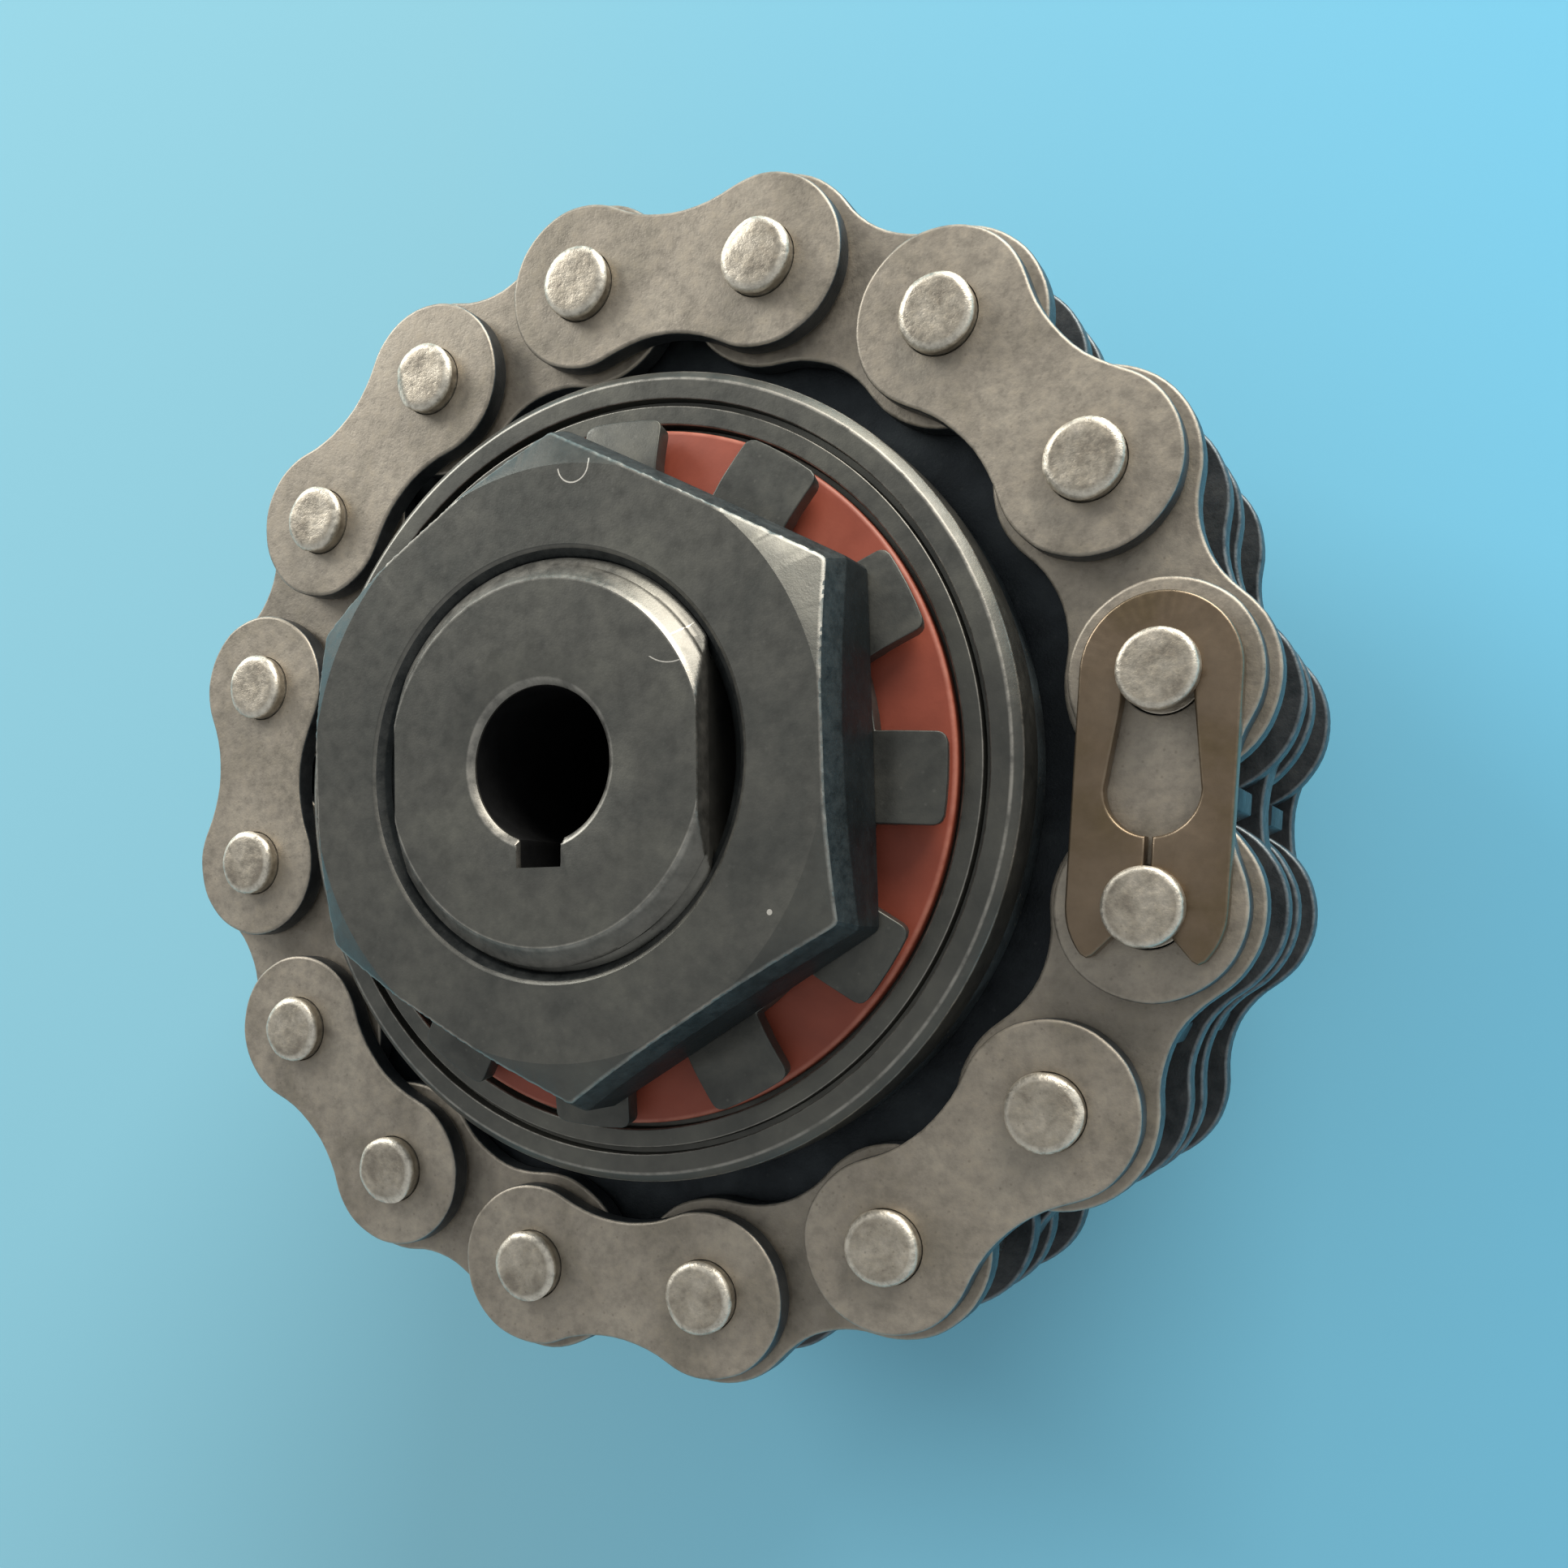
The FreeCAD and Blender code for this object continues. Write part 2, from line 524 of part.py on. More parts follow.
def make_lock_washer():
    """Stamped washer, keyed on the hub flats, with a ring of tabs whose tips bend down."""
    washer = new_body("lock_washer")
    half_section = new_sketch(washer, "XZ", "half_section")
    outline(half_section, (
        ("keyed_flat", 0), ("tab_bend_radius", 0), ("tab_radius", "-tab_drop"),
        ("tab_radius", "tab_tip_top"), ("tab_bend_radius", "washer_thick"),
        ("keyed_flat", "washer_thick"),
    ))
    revolve(washer, half_section)
    hole = new_sketch(washer, "XY", "keyed_hole")
    keyed_hole(hole)
    pocket(washer, hole, backwards=True)
    gap = new_sketch(washer, "XY", "tab_gap", turn=size("tab_turn") + size("half_tab_step"))
    outline(gap, (
        ("gap_root_in", "-gap_root_side"), ("gap_mouth_in", "-gap_mouth_side"),
        ("gap_mouth_in", "gap_mouth_side"), ("gap_root_in", "gap_root_side"),
    ))
    gap_cut = pocket(washer, gap, side="Symmetric")
    tabs = repeat_round(washer, gap, gap_cut, "tab_count")
    doc.recompute()
    corners = [
        f"Edge{number}" for number, edge in enumerate(tabs.Shape.Edges, start=1)
        if all(math.hypot(v.X, v.Y) > size("tab_bend_radius") for v in edge.Vertexes)
        and abs(edge.Vertexes[0].Z - edge.Vertexes[-1].Z) > size("washer_thick") / 2
    ]
    rounded = washer.newObject("PartDesign::Fillet", "tab_corners")
    rounded.Base = (tabs, corners)
    rounded.setExpression("Radius", source("tab_corner"))
    stand(washer, "washer_foot")
    return washer


def make_adjusting_nut():
    nut = new_body("adjusting_nut")
    section = new_sketch(nut, "XY", "section")
    hexagon(section, "nut_half", "nut_half_side", "nut_corner")
    pad(nut, section, "nut_height")
    corner_bevel = new_sketch(nut, "XZ", "corner_bevel")
    outline(corner_bevel, (
        ("nut_face_radius", "nut_height"), ("past_nut_corner", "nut_bevel_foot"),
        ("past_nut_corner", "nut_height"),
    ))
    groove(nut, corner_bevel)
    bore = new_sketch(nut, "XZ", "bore")
    outline(bore, (
        (0, 0), ("nut_bore_mouth", 0), ("nut_bore", "nut_countersink"),
        ("nut_bore", "nut_mouth_top"), ("nut_bore_mouth", "nut_height"), (0, "nut_height"),
    ))
    groove(nut, bore)
    stand(nut, "nut_foot", "nut_turn")
    return nut


# Sprockets

def cut_teeth(sprocket):
    """Cut one gap, with its round roller seat and two flanks, and repeat it round the rim."""
    gap = new_sketch(sprocket, "XY", "tooth_gap")
    seat_angle = size("half_seat_angle")
    seat_radius = size("tooth_seat_radius")
    flank_radius = size("tooth_flank_radius")
    reach = seat_radius + flank_radius
    middle = size("pitch_radius")
    seat = arc(gap, (middle, 0), seat_radius, 180 - seat_angle, 180 + seat_angle)
    flank_in = middle - reach * math.cos(math.radians(seat_angle))
    flank_side = reach * math.sin(math.radians(seat_angle))
    mouth = size("tooth_gap_mouth")
    mouth_angle = math.degrees(math.acos((mouth - flank_in) / flank_radius))
    upper = arc(gap, (flank_in, flank_side), flank_radius, 360 - seat_angle, 360 - mouth_angle)
    lower = arc(gap, (flank_in, -flank_side), flank_radius, mouth_angle, seat_angle)
    closing = gap.addGeometry(Part.LineSegment(gap.getPoint(lower, 1), gap.getPoint(upper, 2)))
    pin_point(gap, seat, 3, "pitch_radius", 0)
    bind_radius(gap, seat, "tooth_seat_radius")
    for point, name in ((1, "seat_end_side"), (2, "-seat_end_side")):
        rule = Sketcher.Constraint("DistanceY", *ORIGIN, seat, point, size(name))
        number = gap.addConstraint(rule)
        gap.setExpression(f"Constraints[{number}]", source(name))
    gap.addConstraint(Sketcher.Constraint("Tangent", seat, 1, upper, 1))
    gap.addConstraint(Sketcher.Constraint("Tangent", seat, 2, lower, 2))
    for flank, point in ((upper, 2), (lower, 1)):
        bind_radius(gap, flank, "tooth_flank_radius")
        rule = Sketcher.Constraint("DistanceX", *ORIGIN, flank, point, size("tooth_gap_mouth"))
        number = gap.addConstraint(rule)
        gap.setExpression(f"Constraints[{number}]", source("tooth_gap_mouth"))
    gap.addConstraint(Sketcher.Constraint("Coincident", lower, 1, closing, 1))
    gap.addConstraint(Sketcher.Constraint("Coincident", upper, 2, closing, 2))
    gap_cut = pocket(sprocket, gap, backwards=True)
    repeat_round(sprocket, gap, gap_cut, "link_count")


def make_driven_sprocket():
    """Plain sprocket, gripped between the facings, that slips when the torque is too high."""
    sprocket = new_body("driven_sprocket")
    half_section = new_sketch(sprocket, "XZ", "half_section")
    outline(half_section, (
        ("driven_bore", 0), ("tooth_bevel_radius", 0), ("tooth_tip_radius", "tooth_bevel_depth"),
        ("tooth_tip_radius", "front_bevel_top"), ("tooth_bevel_radius", "sprocket_thick"),
        ("driven_bore", "sprocket_thick"),
    ))
    revolve(sprocket, half_section)
    cut_teeth(sprocket)
    stand(sprocket, "driven_foot", "chain_turn")
    return sprocket


def make_coupling_sprocket():
    """Sprocket with a boss, bored and keyed for the second shaft."""
    sprocket = new_body("coupling_sprocket")
    half_section = new_sketch(sprocket, "XZ", "half_section")
    outline(half_section, (
        ("rear_bore_mouth", 0), ("boss_face_radius", 0), ("disc_radius", "edge_bevel"),
        ("disc_radius", "boss_length"), ("tooth_bevel_radius", "boss_length"),
        ("tooth_tip_radius", "rear_bevel_low"), ("tooth_tip_radius", "rear_bevel_top"),
        ("tooth_bevel_radius", "rear_length"), ("rear_bore_mouth", "rear_length"),
        ("rear_bore_radius", "rear_mouth_top"), ("rear_bore_radius", "edge_bevel"),
    ))
    revolve(sprocket, half_section)
    key_seat = new_sketch(sprocket, "XY", "key_seat")
    outline(key_seat, (
        ("-rear_half_key", 0), ("-rear_half_key", "-rear_key_floor"),
        ("rear_half_key", "-rear_key_floor"), ("rear_half_key", 0),
    ))
    pocket(sprocket, key_seat, backwards=True)
    over_key = new_sketch(sprocket, "XZ", "screw_hole_over_key")
    circle(over_key, "screw_hole_radius", 0, "screw_height")
    pocket(sprocket, over_key, backwards=True)
    beside_key = new_sketch(sprocket, "YZ", "screw_hole_beside_key")
    circle(beside_key, "screw_hole_radius", 0, "screw_height")
    pocket(sprocket, beside_key, backwards=True)
    cut_teeth(sprocket)
    stand(sprocket, None, "chain_turn")
    return sprocket


def make_set_screw_form():
    """Set screw along Z, its tip at the origin and its hexagon socket at the top."""
    screw = new_body("set_screw_form")
    half_section = new_sketch(screw, "XZ", "half_section")
    outline(half_section, (
        (0, 0), ("screw_face_radius", 0), ("screw_radius", "edge_bevel"),
        ("screw_radius", "screw_bevel_top"), ("screw_face_radius", "set_screw_length"),
        (0, "set_screw_length"),
    ))
    revolve(screw, half_section)
    socket = new_sketch(screw, "XY", "socket")
    hexagon(socket, "socket_half", "socket_half_side", "socket_corner")
    socket.setExpression("AttachmentOffset.Base.z", source("set_screw_length"))
    blind_pocket(screw, socket, "set_screw_socket_depth")
    return screw


# Chain pieces: one form of each, drawn on the origin with the link along Y

def plate_form(label, thick, hole):
    """Waisted link plate with round ends about its two holes."""
    body = new_body(label)
    shape = new_sketch(body, "XY", "shape")
    half_pitch = size("half_pitch")
    end_radius = size("link_end_radius")
    waist_radius = size("waist_radius")
    waist_centre = size("half_waist") + waist_radius
    lean = math.degrees(math.atan2(half_pitch, waist_centre))
    top = arc(shape, (0, half_pitch), end_radius, -lean, 180 + lean)
    left = arc(shape, (-waist_centre, 0), waist_radius, -lean, lean)
    foot = arc(shape, (0, -half_pitch), end_radius, 180 - lean, 360 + lean)
    right = arc(shape, (waist_centre, 0), waist_radius, 180 - lean, 180 + lean)
    pin_point(shape, top, 3, 0, "half_pitch")
    pin_point(shape, foot, 3, 0, "-half_pitch")
    for end in (top, foot):
        bind_radius(shape, end, "link_end_radius")
    for waist in (left, right):
        bind_radius(shape, waist, "waist_radius")
    for joint in ((top, 2, left, 2), (left, 1, foot, 1), (foot, 2, right, 2), (right, 1, top, 1)):
        shape.addConstraint(Sketcher.Constraint("Tangent", *joint))
    circle(shape, hole, 0, "half_pitch")
    circle(shape, hole, 0, "-half_pitch")
    pad(body, shape, thick)
    return body


def pin_form(label, corners):
    body = new_body(label)
    half_section = new_sketch(body, "XZ", "half_section")
    outline(half_section, corners)
    revolve(body, half_section)
    return body


def make_spring_clip_form():
    """Clip with a closed end round one pin, a keyhole, a slit and two legs round the other."""
    clip = new_body("spring_clip_form")
    shape = new_sketch(clip, "XY", "shape")
    half_pitch = size("half_pitch")
    radius = size("clip_radius")
    top = arc(shape, (0, half_pitch), radius, 0, 180)
    left = shape.addGeometry(Part.LineSegment(
        FreeCAD.Vector(-radius, half_pitch, 0), FreeCAD.Vector(-radius, -half_pitch, 0)))
    foot = arc(shape, (0, -half_pitch), radius, 180, 360)
    right = shape.addGeometry(Part.LineSegment(
        FreeCAD.Vector(radius, -half_pitch, 0), FreeCAD.Vector(radius, half_pitch, 0)))
    pin_point(shape, top, 3, 0, "half_pitch")
    pin_point(shape, foot, 3, 0, "-half_pitch")
    bind_radius(shape, top, "clip_radius")
    for joint in ((top, 2, left, 1), (left, 2, foot, 1), (foot, 2, right, 1), (right, 2, top, 1)):
        shape.addConstraint(Sketcher.Constraint("Tangent", *joint))
    pad(clip, shape, "clip_thick")
    for label, up in (("closed_end", "half_pitch"), ("open_end", "-half_pitch")):
        seat = new_sketch(clip, "XY", label)
        circle(seat, "clip_seat_radius", 0, up)
        pocket(clip, seat, backwards=True)
    round_end = new_sketch(clip, "XY", "keyhole")
    circle(round_end, "clip_keyhole_radius", 0, "clip_keyhole_centre")
    pocket(clip, round_end, backwards=True)
    neck = new_sketch(clip, "XY", "neck")
    outline(neck, (
        ("-clip_half_neck", "clip_neck_top"), ("-clip_keyhole_radius", "clip_keyhole_centre"),
        ("clip_keyhole_radius", "clip_keyhole_centre"), ("clip_half_neck", "clip_neck_top"),
    ))
    pocket(clip, neck, backwards=True)
    slit = new_sketch(clip, "XY", "slit")
    outline(slit, (
        ("-clip_half_slit", "clip_keyhole_centre"), ("-clip_half_slit", "-half_pitch"),
        ("clip_half_slit", "-half_pitch"), ("clip_half_slit", "clip_keyhole_centre"),
    ))
    pocket(clip, slit, backwards=True)
    mouth = new_sketch(clip, "XY", "mouth")
    outline(mouth, (
        ("-clip_mouth_half", "-clip_mouth_foot"), ("-clip_mouth", "-clip_leg_end"),
        ("clip_mouth", "-clip_leg_end"), ("clip_mouth_half", "-clip_mouth_foot"),
    ))
    pocket(clip, mouth, backwards=True)
    return clip


def copy_of(form, label, placement):
    """Place one more of a repeated piece."""
    copy = doc.addObject("App::Link", label)
    copy.LinkedObject = form
    copy.Placement = placement
    return copy


def group(label, copies):
    """Gather the separate solids of one node."""
    gathered = doc.addObject("Part::Compound", label)
    gathered.Label = label
    gathered.Links = copies
    return gathered


def turned_out(angle, out, along, up):
    """Give the place at a distance out from the shaft axis, turned round it by an angle."""
    turned = FreeCAD.Rotation(FreeCAD.Vector(0, 0, 1), angle)
    return FreeCAD.Placement(turned.multVec(FreeCAD.Vector(out, along, up)), turned)


def link_angle(steps):
    """Give the angle of a pin (whole steps) or of a link (half steps) round the shaft."""
    return size("chain_turn") + steps * size("link_step")


def make_chain():
    """Wrap the duplex chain round both sprockets, closed by a connecting link."""
    inner_plate = plate_form("inner_plate_form", "inner_plate_thick", "inner_plate_hole")
    outer_plate = plate_form("outer_plate_form", "outer_plate_thick", "press_hole")
    side_plate = plate_form("side_plate_form", "outer_plate_thick", "slip_hole")
    middle_plate = plate_form("middle_plate_form", "middle_plate_thick", "slip_hole")
    chain_bush = ring("chain_bush_form", "chain_bush_radius", "slip_hole", "chain_bush_length")
    roller = ring("roller_form", "roller_radius", "roller_bore", "roller_length")
    riveted_pin = pin_form("riveted_pin_form", (
        (0, 0), ("pin_face_radius", 0), ("pin_radius", "pin_bevel"),
        ("pin_radius", "pin_bevel_top"), ("pin_face_radius", "pin_length"), (0, "pin_length"),
    ))
    grooved_pin = pin_form("grooved_pin_form", (
        (0, 0), ("pin_face_radius", 0), ("pin_radius", "pin_bevel"),
        ("pin_radius", "clip_groove_foot"), ("clip_groove_radius", "clip_groove_foot"),
        ("clip_groove_radius", "clip_groove_top"), ("pin_radius", "clip_groove_top"),
        ("pin_radius", "clip_pin_bevel_top"), ("pin_face_radius", "clip_pin_length"),
        (0, "clip_pin_length"),
    ))
    clip = make_spring_clip_form()
    out = size("link_offset")
    half_pitch = size("half_pitch")
    strands = (("rear", size("rear_strand")), ("front", size("front_strand")))
    nodes = []

    def pins(form, angle, label):
        return [
            copy_of(form, f"{label}_pin_{side}", turned_out(angle, out, along, size("pin_foot")))
            for side, along in (("a", -half_pitch), ("b", half_pitch))
        ]

    for number in range(int(size("link_pairs"))):
        label = f"inner_link_{number + 1}"
        angle = link_angle(2 * number + 0.5)
        copies = []
        for strand, middle in strands:
            foot = middle - size("inner_width") / 2
            levels = (("low", foot - size("inner_plate_thick")), ("top", foot + size("inner_width")))
            for side, up in levels:
                name = f"{label}_{strand}_{side}_plate"
                copies.append(copy_of(inner_plate, name, turned_out(angle, out, 0, up)))
            for side, along in (("a", -half_pitch), ("b", half_pitch)):
                up = middle - size("chain_bush_length") / 2
                name = f"{label}_{strand}_bush_{side}"
                copies.append(copy_of(chain_bush, name, turned_out(angle, out, along, up)))
        nodes.append(group(label, copies))

    for number in range(1, int(size("link_pairs"))):
        angle = link_angle(2 * number - 0.5)
        label = f"outer_link_{number}"
        copies = pins(riveted_pin, angle, label)
        for side, foot in (("rear", "rear_plate_foot"), ("front", "front_plate_foot")):
            place = turned_out(angle, out, 0, size(foot))
            copies.append(copy_of(outer_plate, f"{label}_{side}_plate", place))
        nodes.append(group(label, copies))
        place = turned_out(angle, out, 0, size("middle_plate_foot"))
        middle = copy_of(middle_plate, f"middle_plate_{number}_copy", place)
        nodes.append(group(f"middle_plate_{number}", [middle]))

    angle = link_angle(-0.5)
    place = turned_out(angle, out, 0, size("rear_plate_foot"))
    copies = pins(grooved_pin, angle, "connecting")
    copies.append(copy_of(outer_plate, "connecting_rear_plate", place))
    nodes.append(group("connecting_pin_link", copies))
    for label, form, foot in (
        ("connecting_middle_plate", middle_plate, "middle_plate_foot"),
        ("connecting_side_plate", side_plate, "front_plate_foot"),
        ("spring_clip", clip, "clip_foot"),
    ):
        piece = copy_of(form, f"{label}_copy", turned_out(angle, out, 0, size(foot)))
        nodes.append(group(label, [piece]))

    for number in range(int(size("link_count"))):
        label = f"roller_pair_{number + 1:02d}"
        copies = []
        for strand, middle in strands:
            up = middle - size("roller_length") / 2
            place = turned_out(link_angle(number), size("pitch_radius"), 0, up)
            copies.append(copy_of(roller, f"{label}_{strand}", place))
        nodes.append(group(label, copies))
    return nodes


def make_set_screws():
    """Two set screws in the boss, one over the key seat and one a quarter turn on."""
    form = make_set_screw_form()
    copies = []
    outward = FreeCAD.Rotation(FreeCAD.Vector(0, 1, 0), 90)
    for label, direction in (("over_key", -90.0), ("beside_key", 0.0)):
        angle = size("chain_turn") + direction
        place = turned_out(angle, size("screw_tip_radius"), 0, size("screw_height"))
        place.Rotation = place.Rotation.multiply(outward)
        copies.append(copy_of(form, f"set_screw_{label}", place))
    return group("set_screws", copies)


def make_facing(label, foot):
    facing = ring(label, "facing_radius", "facing_bore", "facing_thick")
    stand(facing, foot)
    return facing


def make_hub_bush():
    bush = ring("hub_bush", "sleeve_radius", "sleeve_bore", "sleeve_length")
    stand(bush, "sleeve_foot")
    return bush


pieces = [
    make_coupling_sprocket(),
    make_set_screws(),
    make_hub(),
    make_facing("rear_facing", "rear_facing_foot"),
    make_hub_bush(),
    make_driven_sprocket(),
    make_facing("front_facing", "front_facing_foot"),
    make_pressure_plate(),
    make_disc_spring(),
    make_lock_washer(),
    make_adjusting_nut(),
]
pieces += make_chain()
doc.recompute()


def check_document():
    """Stop if a feature failed, a cut removed nothing or a piece is not a sound solid."""
    for item in doc.Objects:
        if "Invalid" in item.State or "Error" in item.State:
            raise RuntimeError(f"{item.Label} failed: {item.State}")
        if item.TypeId in ("PartDesign::Pocket", "PartDesign::Groove"):
            if item.BaseFeature.Shape.Volume - item.Shape.Volume < SMALLEST_CUT:
                raise RuntimeError(f"{item.Label} cuts nothing")
    for piece in pieces:
        if piece.Shape.isNull() or not piece.Shape.isValid():
            raise RuntimeError(f"{piece.Label} is not a sound solid")


check_document()
for piece in pieces:
    piece.Shape.exportStep(os.path.join("parts", f"{piece.Label}.step"))
    box = piece.Shape.BoundBox
    print(f"{piece.Label}: {len(piece.Shape.Solids)} solids, {piece.Shape.Volume:.1f} mm3, "
          f"z {box.ZMin:.2f} to {box.ZMax:.2f}")
print(f"{len(pieces)} nodes written")
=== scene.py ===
import json
import math
import random
import bpy
import bmesh
from mathutils import Matrix, Vector, noise


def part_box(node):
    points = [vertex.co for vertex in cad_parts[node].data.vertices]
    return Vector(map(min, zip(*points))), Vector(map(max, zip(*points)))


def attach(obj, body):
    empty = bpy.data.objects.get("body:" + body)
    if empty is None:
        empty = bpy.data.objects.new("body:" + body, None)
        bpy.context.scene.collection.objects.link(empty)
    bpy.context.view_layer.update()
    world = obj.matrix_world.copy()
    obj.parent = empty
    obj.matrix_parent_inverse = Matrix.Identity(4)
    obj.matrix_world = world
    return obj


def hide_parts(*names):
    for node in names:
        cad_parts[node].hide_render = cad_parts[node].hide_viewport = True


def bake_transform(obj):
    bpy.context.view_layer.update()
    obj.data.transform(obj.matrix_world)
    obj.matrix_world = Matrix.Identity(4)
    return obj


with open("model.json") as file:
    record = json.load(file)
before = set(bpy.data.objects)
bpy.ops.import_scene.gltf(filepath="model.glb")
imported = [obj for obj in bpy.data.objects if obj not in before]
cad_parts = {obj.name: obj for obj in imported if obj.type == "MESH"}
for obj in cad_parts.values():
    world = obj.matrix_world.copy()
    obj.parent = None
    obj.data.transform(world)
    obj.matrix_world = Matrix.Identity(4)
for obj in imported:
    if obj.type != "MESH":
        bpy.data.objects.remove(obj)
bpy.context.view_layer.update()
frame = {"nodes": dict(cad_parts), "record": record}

scene = bpy.context.scene
scene.view_settings.view_transform = "Standard"
mm = 0.001
bodyOf = {node: body for body, members in frame["record"]["behaviour"]["bodies"].items()
          for node in members}
print("frame loaded:", len(frame["nodes"]), "nodes")


# camera, light and floor

view = {
    "place": (48.980, -10.358, 131.793),    # mm, read off the photograph's perspective
    "target": (2.407, -10.711, 44.05),
    "up": (0.0053, 1.0, -0.0068),
    "lens": 36.647, "shift": (0.0743, 0.1062),    # the photograph is cut off centre
    "near": 4,                                    # mm, nothing closer is drawn
}
light = {"sky": 0.48, "skyTint": "#f4f6f7", "aim": (0, 0, 45)}    # both lamps point there, mm
lamps = {
    "window": {"from": (0.42, 0.84, 0.34), "away": 900, "wide": 610, "high": 435, "power": 9.3,
               "tint": "#fff8ee"},
    "panel": {"from": (-0.70, 0.60, 0.42), "away": 1000, "wide": 430, "high": 430, "power": 5.3,
              "tint": "#fffdf8"},
}
# the floor's painted light falloff, from the left colour to the right one
paper = {"left": "#90cee2", "right": "#80d2f4", "from": -45, "to": 55, "size": 4000}    # mm


def toLinear(hexColour):
    channels = [int(hexColour[i:i + 2], 16) / 255 for i in (1, 3, 5)]
    linear = [c / 12.92 if c <= 0.04045 else ((c + 0.055) / 1.055) ** 2.4 for c in channels]
    return (*linear, 1.0)


def addNode(tree, kind, settings=None, **inputs):
    node = tree.nodes.new(kind)
    for name, value in (settings or {}).items():
        if name == "stops":                # the stops of a colour ramp: (place, colour)
            stops = node.color_ramp.elements
            while len(stops) < len(value):
                stops.new(0.5)
            for stop, (place, colour) in zip(stops, value):
                stop.position, stop.color = place, colour
        else:
            setattr(node, name, value)
    for name, value in inputs.items():
        socket = next(s for s in node.inputs
                      if s.identifier == name or s.name.replace(" ", "") == name)
        if isinstance(value, bpy.types.NodeSocket):
            tree.links.new(value, socket)
        else:
            socket.default_value = value
    return node


def newTree(owner):
    owner.use_nodes = True
    owner.node_tree.nodes.clear()
    return owner.node_tree


def aim(thing, place, target, up):
    back = (Vector(place) - Vector(target)).normalized()
    side = Vector(up).cross(back).normalized()
    turn = Matrix((side, back.cross(side), back)).transposed().to_4x4()
    thing.matrix_world = Matrix.Translation(Vector(place) * mm) @ turn


camera = bpy.data.objects.new("camera", bpy.data.cameras.new("camera"))
camera.data.lens = view["lens"]
camera.data.shift_x, camera.data.shift_y = view["shift"]
camera.data.clip_start = view["near"] * mm
aim(camera, view["place"], view["target"], view["up"])
scene.collection.objects.link(camera)
scene.camera = camera

sky = bpy.data.worlds.new("studio")
scene.world = sky
tree = newTree(sky)
glow = addNode(tree, "ShaderNodeBackground", Color=toLinear(light["skyTint"]),
               Strength=light["sky"])
addNode(tree, "ShaderNodeOutputWorld", Surface=glow.outputs[0])

for name, values in lamps.items():
    lamp = bpy.data.lights.new(name, "AREA")
    lamp.shape = "RECTANGLE"
    lamp.size = values["wide"] * mm
    lamp.size_y = values["high"] * mm
    lamp.energy = values["power"]
    lamp.color = toLinear(values["tint"])[:3]
    stand = bpy.data.objects.new(name, lamp)
    aim(stand, Vector(values["from"]).normalized() * values["away"], light["aim"], (0, 0, 1))
    scene.collection.objects.link(stand)

bpy.ops.mesh.primitive_plane_add(size=paper["size"] * mm)
floor = bpy.context.object
floor.name = "floor"
mattPaper = bpy.data.materials.new("matt paper")       # soft blue with a painted light falloff: paler on the left, as if lit from there, deeper blue to the right; no shine
tree = newTree(mattPaper)
spot = addNode(tree, "ShaderNodeTexCoord").outputs["Object"]
across = addNode(tree, "ShaderNodeSeparateXYZ", Vector=spot).outputs["X"]
fade = addNode(tree, "ShaderNodeMapRange", Value=across, FromMin=paper["from"] * mm,
               FromMax=paper["to"] * mm)
paintedFalloff = addNode(tree, "ShaderNodeMix", {"data_type": "RGBA"}, Factor_Float=fade.outputs["Result"],
               A_Color=toLinear(paper["left"]), B_Color=toLinear(paper["right"]))
cover = addNode(tree, "ShaderNodeBsdfPrincipled", BaseColor=paintedFalloff.outputs[2], Roughness=0.9,
                SpecularIORLevel=0.2)
addNode(tree, "ShaderNodeOutputMaterial", Surface=cover.outputs[0])
floor.data.materials.append(mattPaper)
print("studio ready")


# building meshes, all in millimetres

class Form:
    def __init__(self):
        self.mesh = bmesh.new()
        self.wear = self.mesh.verts.layers.float.new("wear")     # 1 on edges given the pale edge colour, partly really worn and partly painted highlight; 0 elsewhere

    def ring(self, points, wear=0.0):
        made = []
        for point in points:
            vert = self.mesh.verts.new(Vector(point) * mm)
            vert[self.wear] = wear
            made.append(vert)
        return made

    def band(self, first, second, closed=True):
        count = len(first)
        for i in range(count if closed else count - 1):
            j = (i + 1) % count
            self.mesh.faces.new((first[i], first[j], second[j], second[i]))

    def skin(self, rings, looped=False):
        for first, second in zip(rings, rings[1:] + rings[:1] if looped else rings[1:]):
            self.band(first, second)

    def fill(self, *loops):
        edges = []
        for loop in loops:
            for a, b in zip(loop, loop[1:] + loop[:1]):
                edges.append(self.mesh.edges.get((a, b)) or self.mesh.edges.new((a, b)))
        bmesh.ops.triangle_fill(self.mesh, edges=edges, use_beauty=True)

    def place(self, matrix):
        bmesh.ops.transform(self.mesh, matrix=matrix, verts=self.mesh.verts)


def arc(x, y, radius, start, end, steps):
    # points from start to end in degrees, without the last one
    turns = [math.radians(start + (end - start) * i / steps) for i in range(steps)]
    return [(x + radius * math.cos(t), y + radius * math.sin(t)) for t in turns]


def inset(points, distance):
    moved = []
    for i, point in enumerate(points):
        before, after = points[i - 1], points[(i + 1) % len(points)]
        a = Vector((point[0] - before[0], point[1] - before[1])).normalized()
        b = Vector((after[0] - point[0], after[1] - point[1])).normalized()
        inward = Vector((-a.y - b.y, a.x + b.x)) / max(1 + a.dot(b), 0.35)
        moved.append((point[0] + inward.x * distance, point[1] + inward.y * distance))
    return moved


